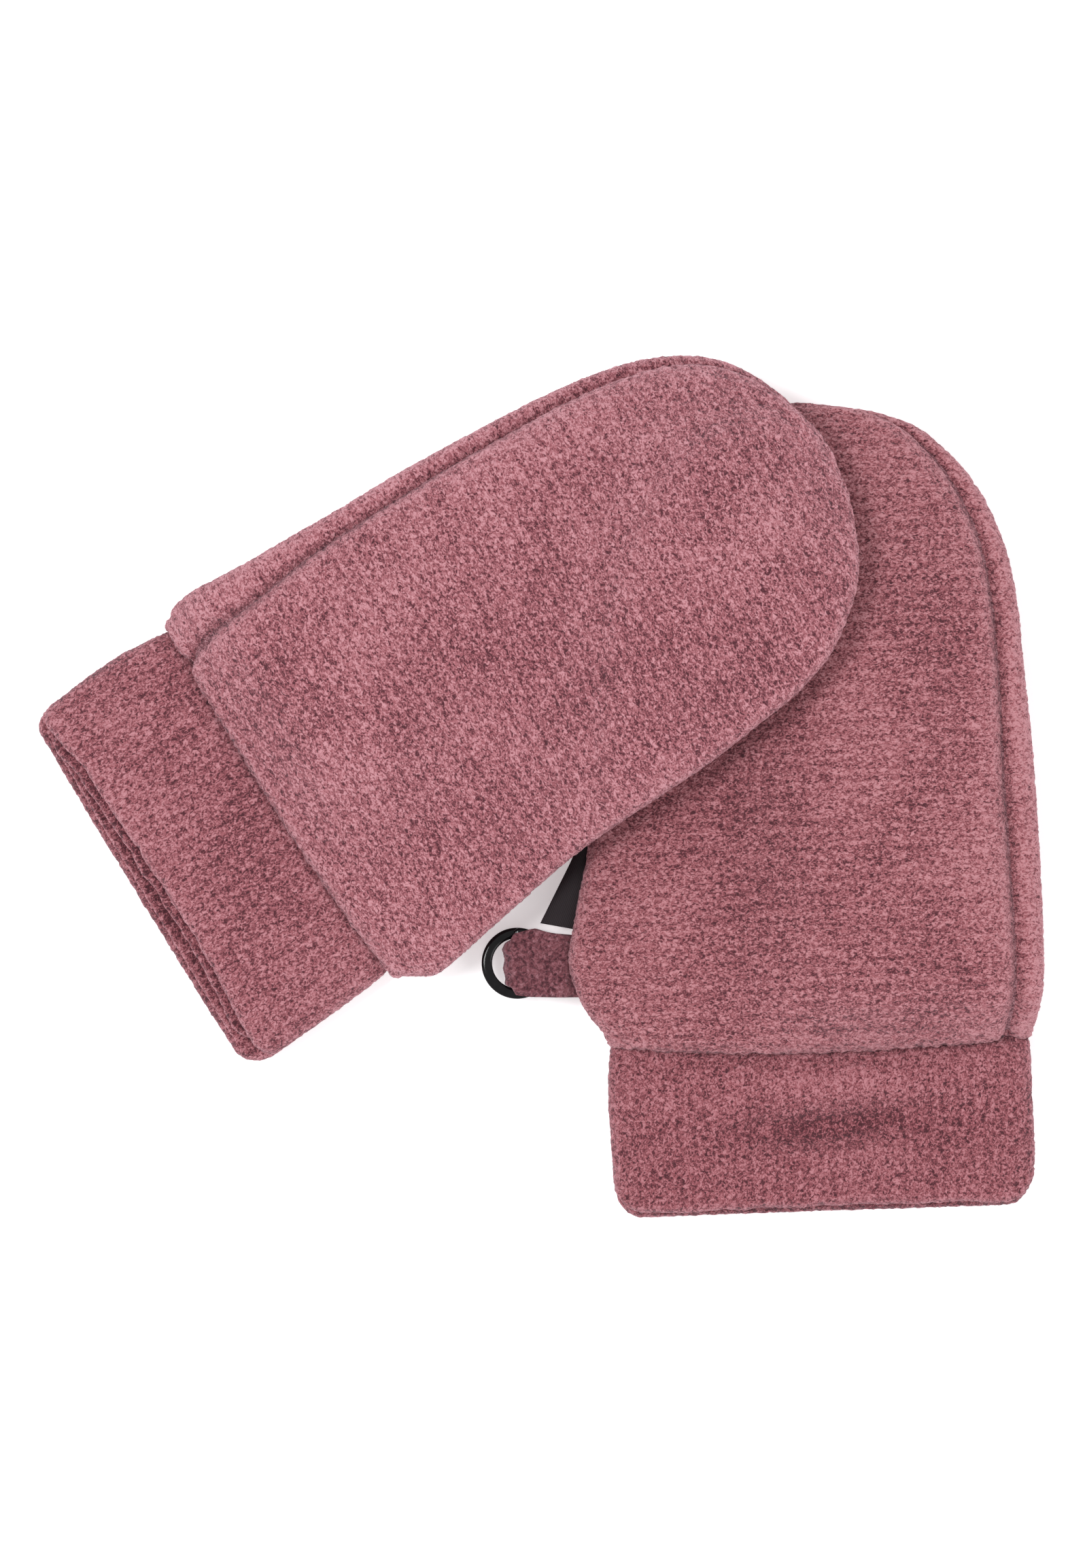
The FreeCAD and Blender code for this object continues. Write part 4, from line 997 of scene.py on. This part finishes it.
def make_ring():
    turns, pitch, wire = 1.85, 0.95, 0.9
    n = 260
    mean, half_r, half_h = 7.0 - 1.05, 1.05, wire / 2
    prof = []
    for k in range(16):
        a = 2 * math.pi * k / 16
        prof.append((half_r * spow(math.cos(a), 0.75), half_h * spow(math.sin(a), 0.9)))
    prof = np.array(prof)
    th = np.linspace(0, turns * 2 * math.pi, n)
    rise = th / (2 * math.pi) * pitch
    end = np.minimum(smooth(th, -0.02, 0.16), smooth(turns * 2 * math.pi - th, -0.02, 0.16))
    k = 0.45 + 0.55 * end
    height = pitch * turns + wire
    r = mean + prof[None, :, 0] * k[:, None]
    z = rise[:, None] + wire / 2 + prof[None, :, 1] * k[:, None] - height / 2
    a = th[:, None] + math.radians(150.0)
    c = LEFT.world(RING_U, RING_V, TAB_Z)
    P = np.stack([c[0] + r * np.cos(a), c[1] + r * np.sin(a), c[2] + z], -1)
    m = len(prof)
    polys = [grid_quads(n, m, wrap_c=True), np.array([list(range(m))[::-1]]),
             np.array([[(n - 1) * m + j for j in range(m)]])]
    build("left_split_ring", P.reshape(-1, 3), polys, "left_ring", ["left_ring"],
          ring_material())


def label_material():
    m, nt, bsdf = new_material("woven_satin")
    tc = nt.nodes.new("ShaderNodeTexCoord")
    mp = nt.nodes.new("ShaderNodeMapping")
    mp.inputs["Rotation"].default_value = (0, 0, math.radians(22.0))
    nt.links.new(tc.outputs["Object"], mp.inputs["Vector"])
    wave = nt.nodes.new("ShaderNodeTexWave")
    wave.bands_direction = "X"
    wave.inputs["Scale"].default_value = 900.0
    wave.inputs["Distortion"].default_value = 0.5
    nt.links.new(mp.outputs[0], wave.inputs["Vector"])
    n = noise_tex(nt, mp.outputs[0], 2200.0, 2.0, 0.6)
    x = math_node(nt, "MULTIPLY", wave.outputs[1], 0.6)
    x = math_node(nt, "MULTIPLY_ADD", n, 0.4, x)
    nt.links.new(ramp(nt, x, [(0.1, srgb(13, 8, 10)), (0.9, srgb(38, 27, 32))]),
                 bsdf.inputs["Base Color"])
    bump = nt.nodes.new("ShaderNodeBump")
    bump.inputs["Strength"].default_value = 0.4
    bump.inputs["Distance"].default_value = 0.0001
    nt.links.new(x, bump.inputs["Height"])
    nt.links.new(bump.outputs[0], bsdf.inputs["Normal"])
    bsdf.inputs["Roughness"].default_value = 0.6
    bsdf.inputs["Specular IOR Level"].default_value = 0.2
    return m


def make_label():
    """Folded woven label, a thin double leaf that leaves the seam and bends down a little."""
    nu, nv = ((26, 80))
    b = np.linspace(0, 1, nv + 1)[:, None]
    a = np.linspace(0, 1, nu + 1)[None, :]
    root = np.stack([np.interp(b, [0, 0.2, 0.5, 0.85, 1], [1.1, 2.0, 3.8, 5.3, 5.7]),
                     np.interp(b, [0, 0.2, 0.5, 0.85, 1], [-0.3, 3.0, 8.4, 15.5, 19.3])], -1)
    free = np.stack([np.interp(b, [0, 0.6, 1], [-5.9, 0.3, 4.0]),
                     np.interp(b, [0, 0.6, 1], [1.2, 12.7, 20.0])], -1)
    xy = root * (1 - a[..., None]) + free * a[..., None]
    z = 0.25 * np.sin(a * 3.1) + 0.12 * np.sin(b * 7.0 + a * 2.0) - 0.5 * a ** 2 * (1 - b)
    top = np.stack([xy[..., 0], xy[..., 1], 7.62 + z * 0.6 + (0.06 + 0.26 * (1 - a ** 6))], -1)
    low = np.stack([xy[..., 0], xy[..., 1], 7.62 + z * 0.6 - (0.06 + 0.26 * (1 - a ** 6))], -1)
    verts, polys = shell(top, low, 1)
    W = LEFT.world(-47.9 + verts[:, 0], 57.2 + verts[:, 1], verts[:, 2])
    build("left_side_label", W, polys, "left_label", ["left_label"], label_material())


# ------------------------------------------------------------------ make it
for k, which in enumerate(("left", "right")):
    make_panel(which, "back", 100 + 50 * k)
    make_panel(which, "palm", 120 + 50 * k)
    make_lining(which, "back", 130 + 50 * k)
    make_lining(which, "palm", 140 + 50 * k)
    make_cuff(which, 200 + 50 * k)
    make_thumb(which, 300 + 50 * k)
    make_seams(which)
make_tab()
make_ring()
make_label()

# ------------------------------------------------------------------ stage
scene = bpy.context.scene
me = bpy.data.meshes.new("floor")
s = 3.0
me.from_pydata([(-s, -s, -0.0002), (s, -s, -0.0002), (s, s, -0.0002), (-s, s, -0.0002)], [],
               [(0, 1, 2, 3)])
floor = bpy.data.objects.new("floor", me)
scene.collection.objects.link(floor)
fm, fnt, fb = new_material("floor_pale")
fb.inputs["Base Color"].default_value = (0.94, 0.94, 0.95, 1)
fb.inputs["Roughness"].default_value = 0.9
fb.inputs["Emission Color"].default_value = (1.0, 1.0, 1.0, 1)
fb.inputs["Emission Strength"].default_value = 0.35
floor.data.materials.append(fm)

world = bpy.data.worlds.new("studio")
scene.world = world
world.use_nodes = True
bg = world.node_tree.nodes["Background"]
bg.inputs[0].default_value = (1.0, 1.0, 1.0, 1)
bg.inputs[1].default_value = 0.8


def area(name, loc, size, power, target=(0, 0, 0)):
    li = bpy.data.lights.new(name, "AREA")
    li.shape = "DISK"
    li.size = size
    li.energy = power
    ob = bpy.data.objects.new(name, li)
    ob.location = loc
    d = Vector(target) - Vector(loc)
    ob.rotation_euler = d.to_track_quat("-Z", "Y").to_euler()
    scene.collection.objects.link(ob)
    return ob


area("key", (-0.55, 0.15, 1.2), 0.42, 8.0)
area("fill", (0.9, -0.45, 0.85), 0.9, 5.0)

cam = bpy.data.cameras.new("camera")
cam.sensor_fit = "VERTICAL"
cam.sensor_height = 36.0
dist = 2.6
cam.lens = 36.0 * dist / 0.3075
cam.clip_start, cam.clip_end = 0.01, 20.0
co = bpy.data.objects.new("camera", cam)
co.location = (0.0002, 0.00093, 0.008 + dist)
co.rotation_euler = (0, 0, 0)
scene.collection.objects.link(co)
scene.camera = co
scene.view_settings.view_transform = "Standard"
scene.view_settings.look = "None"
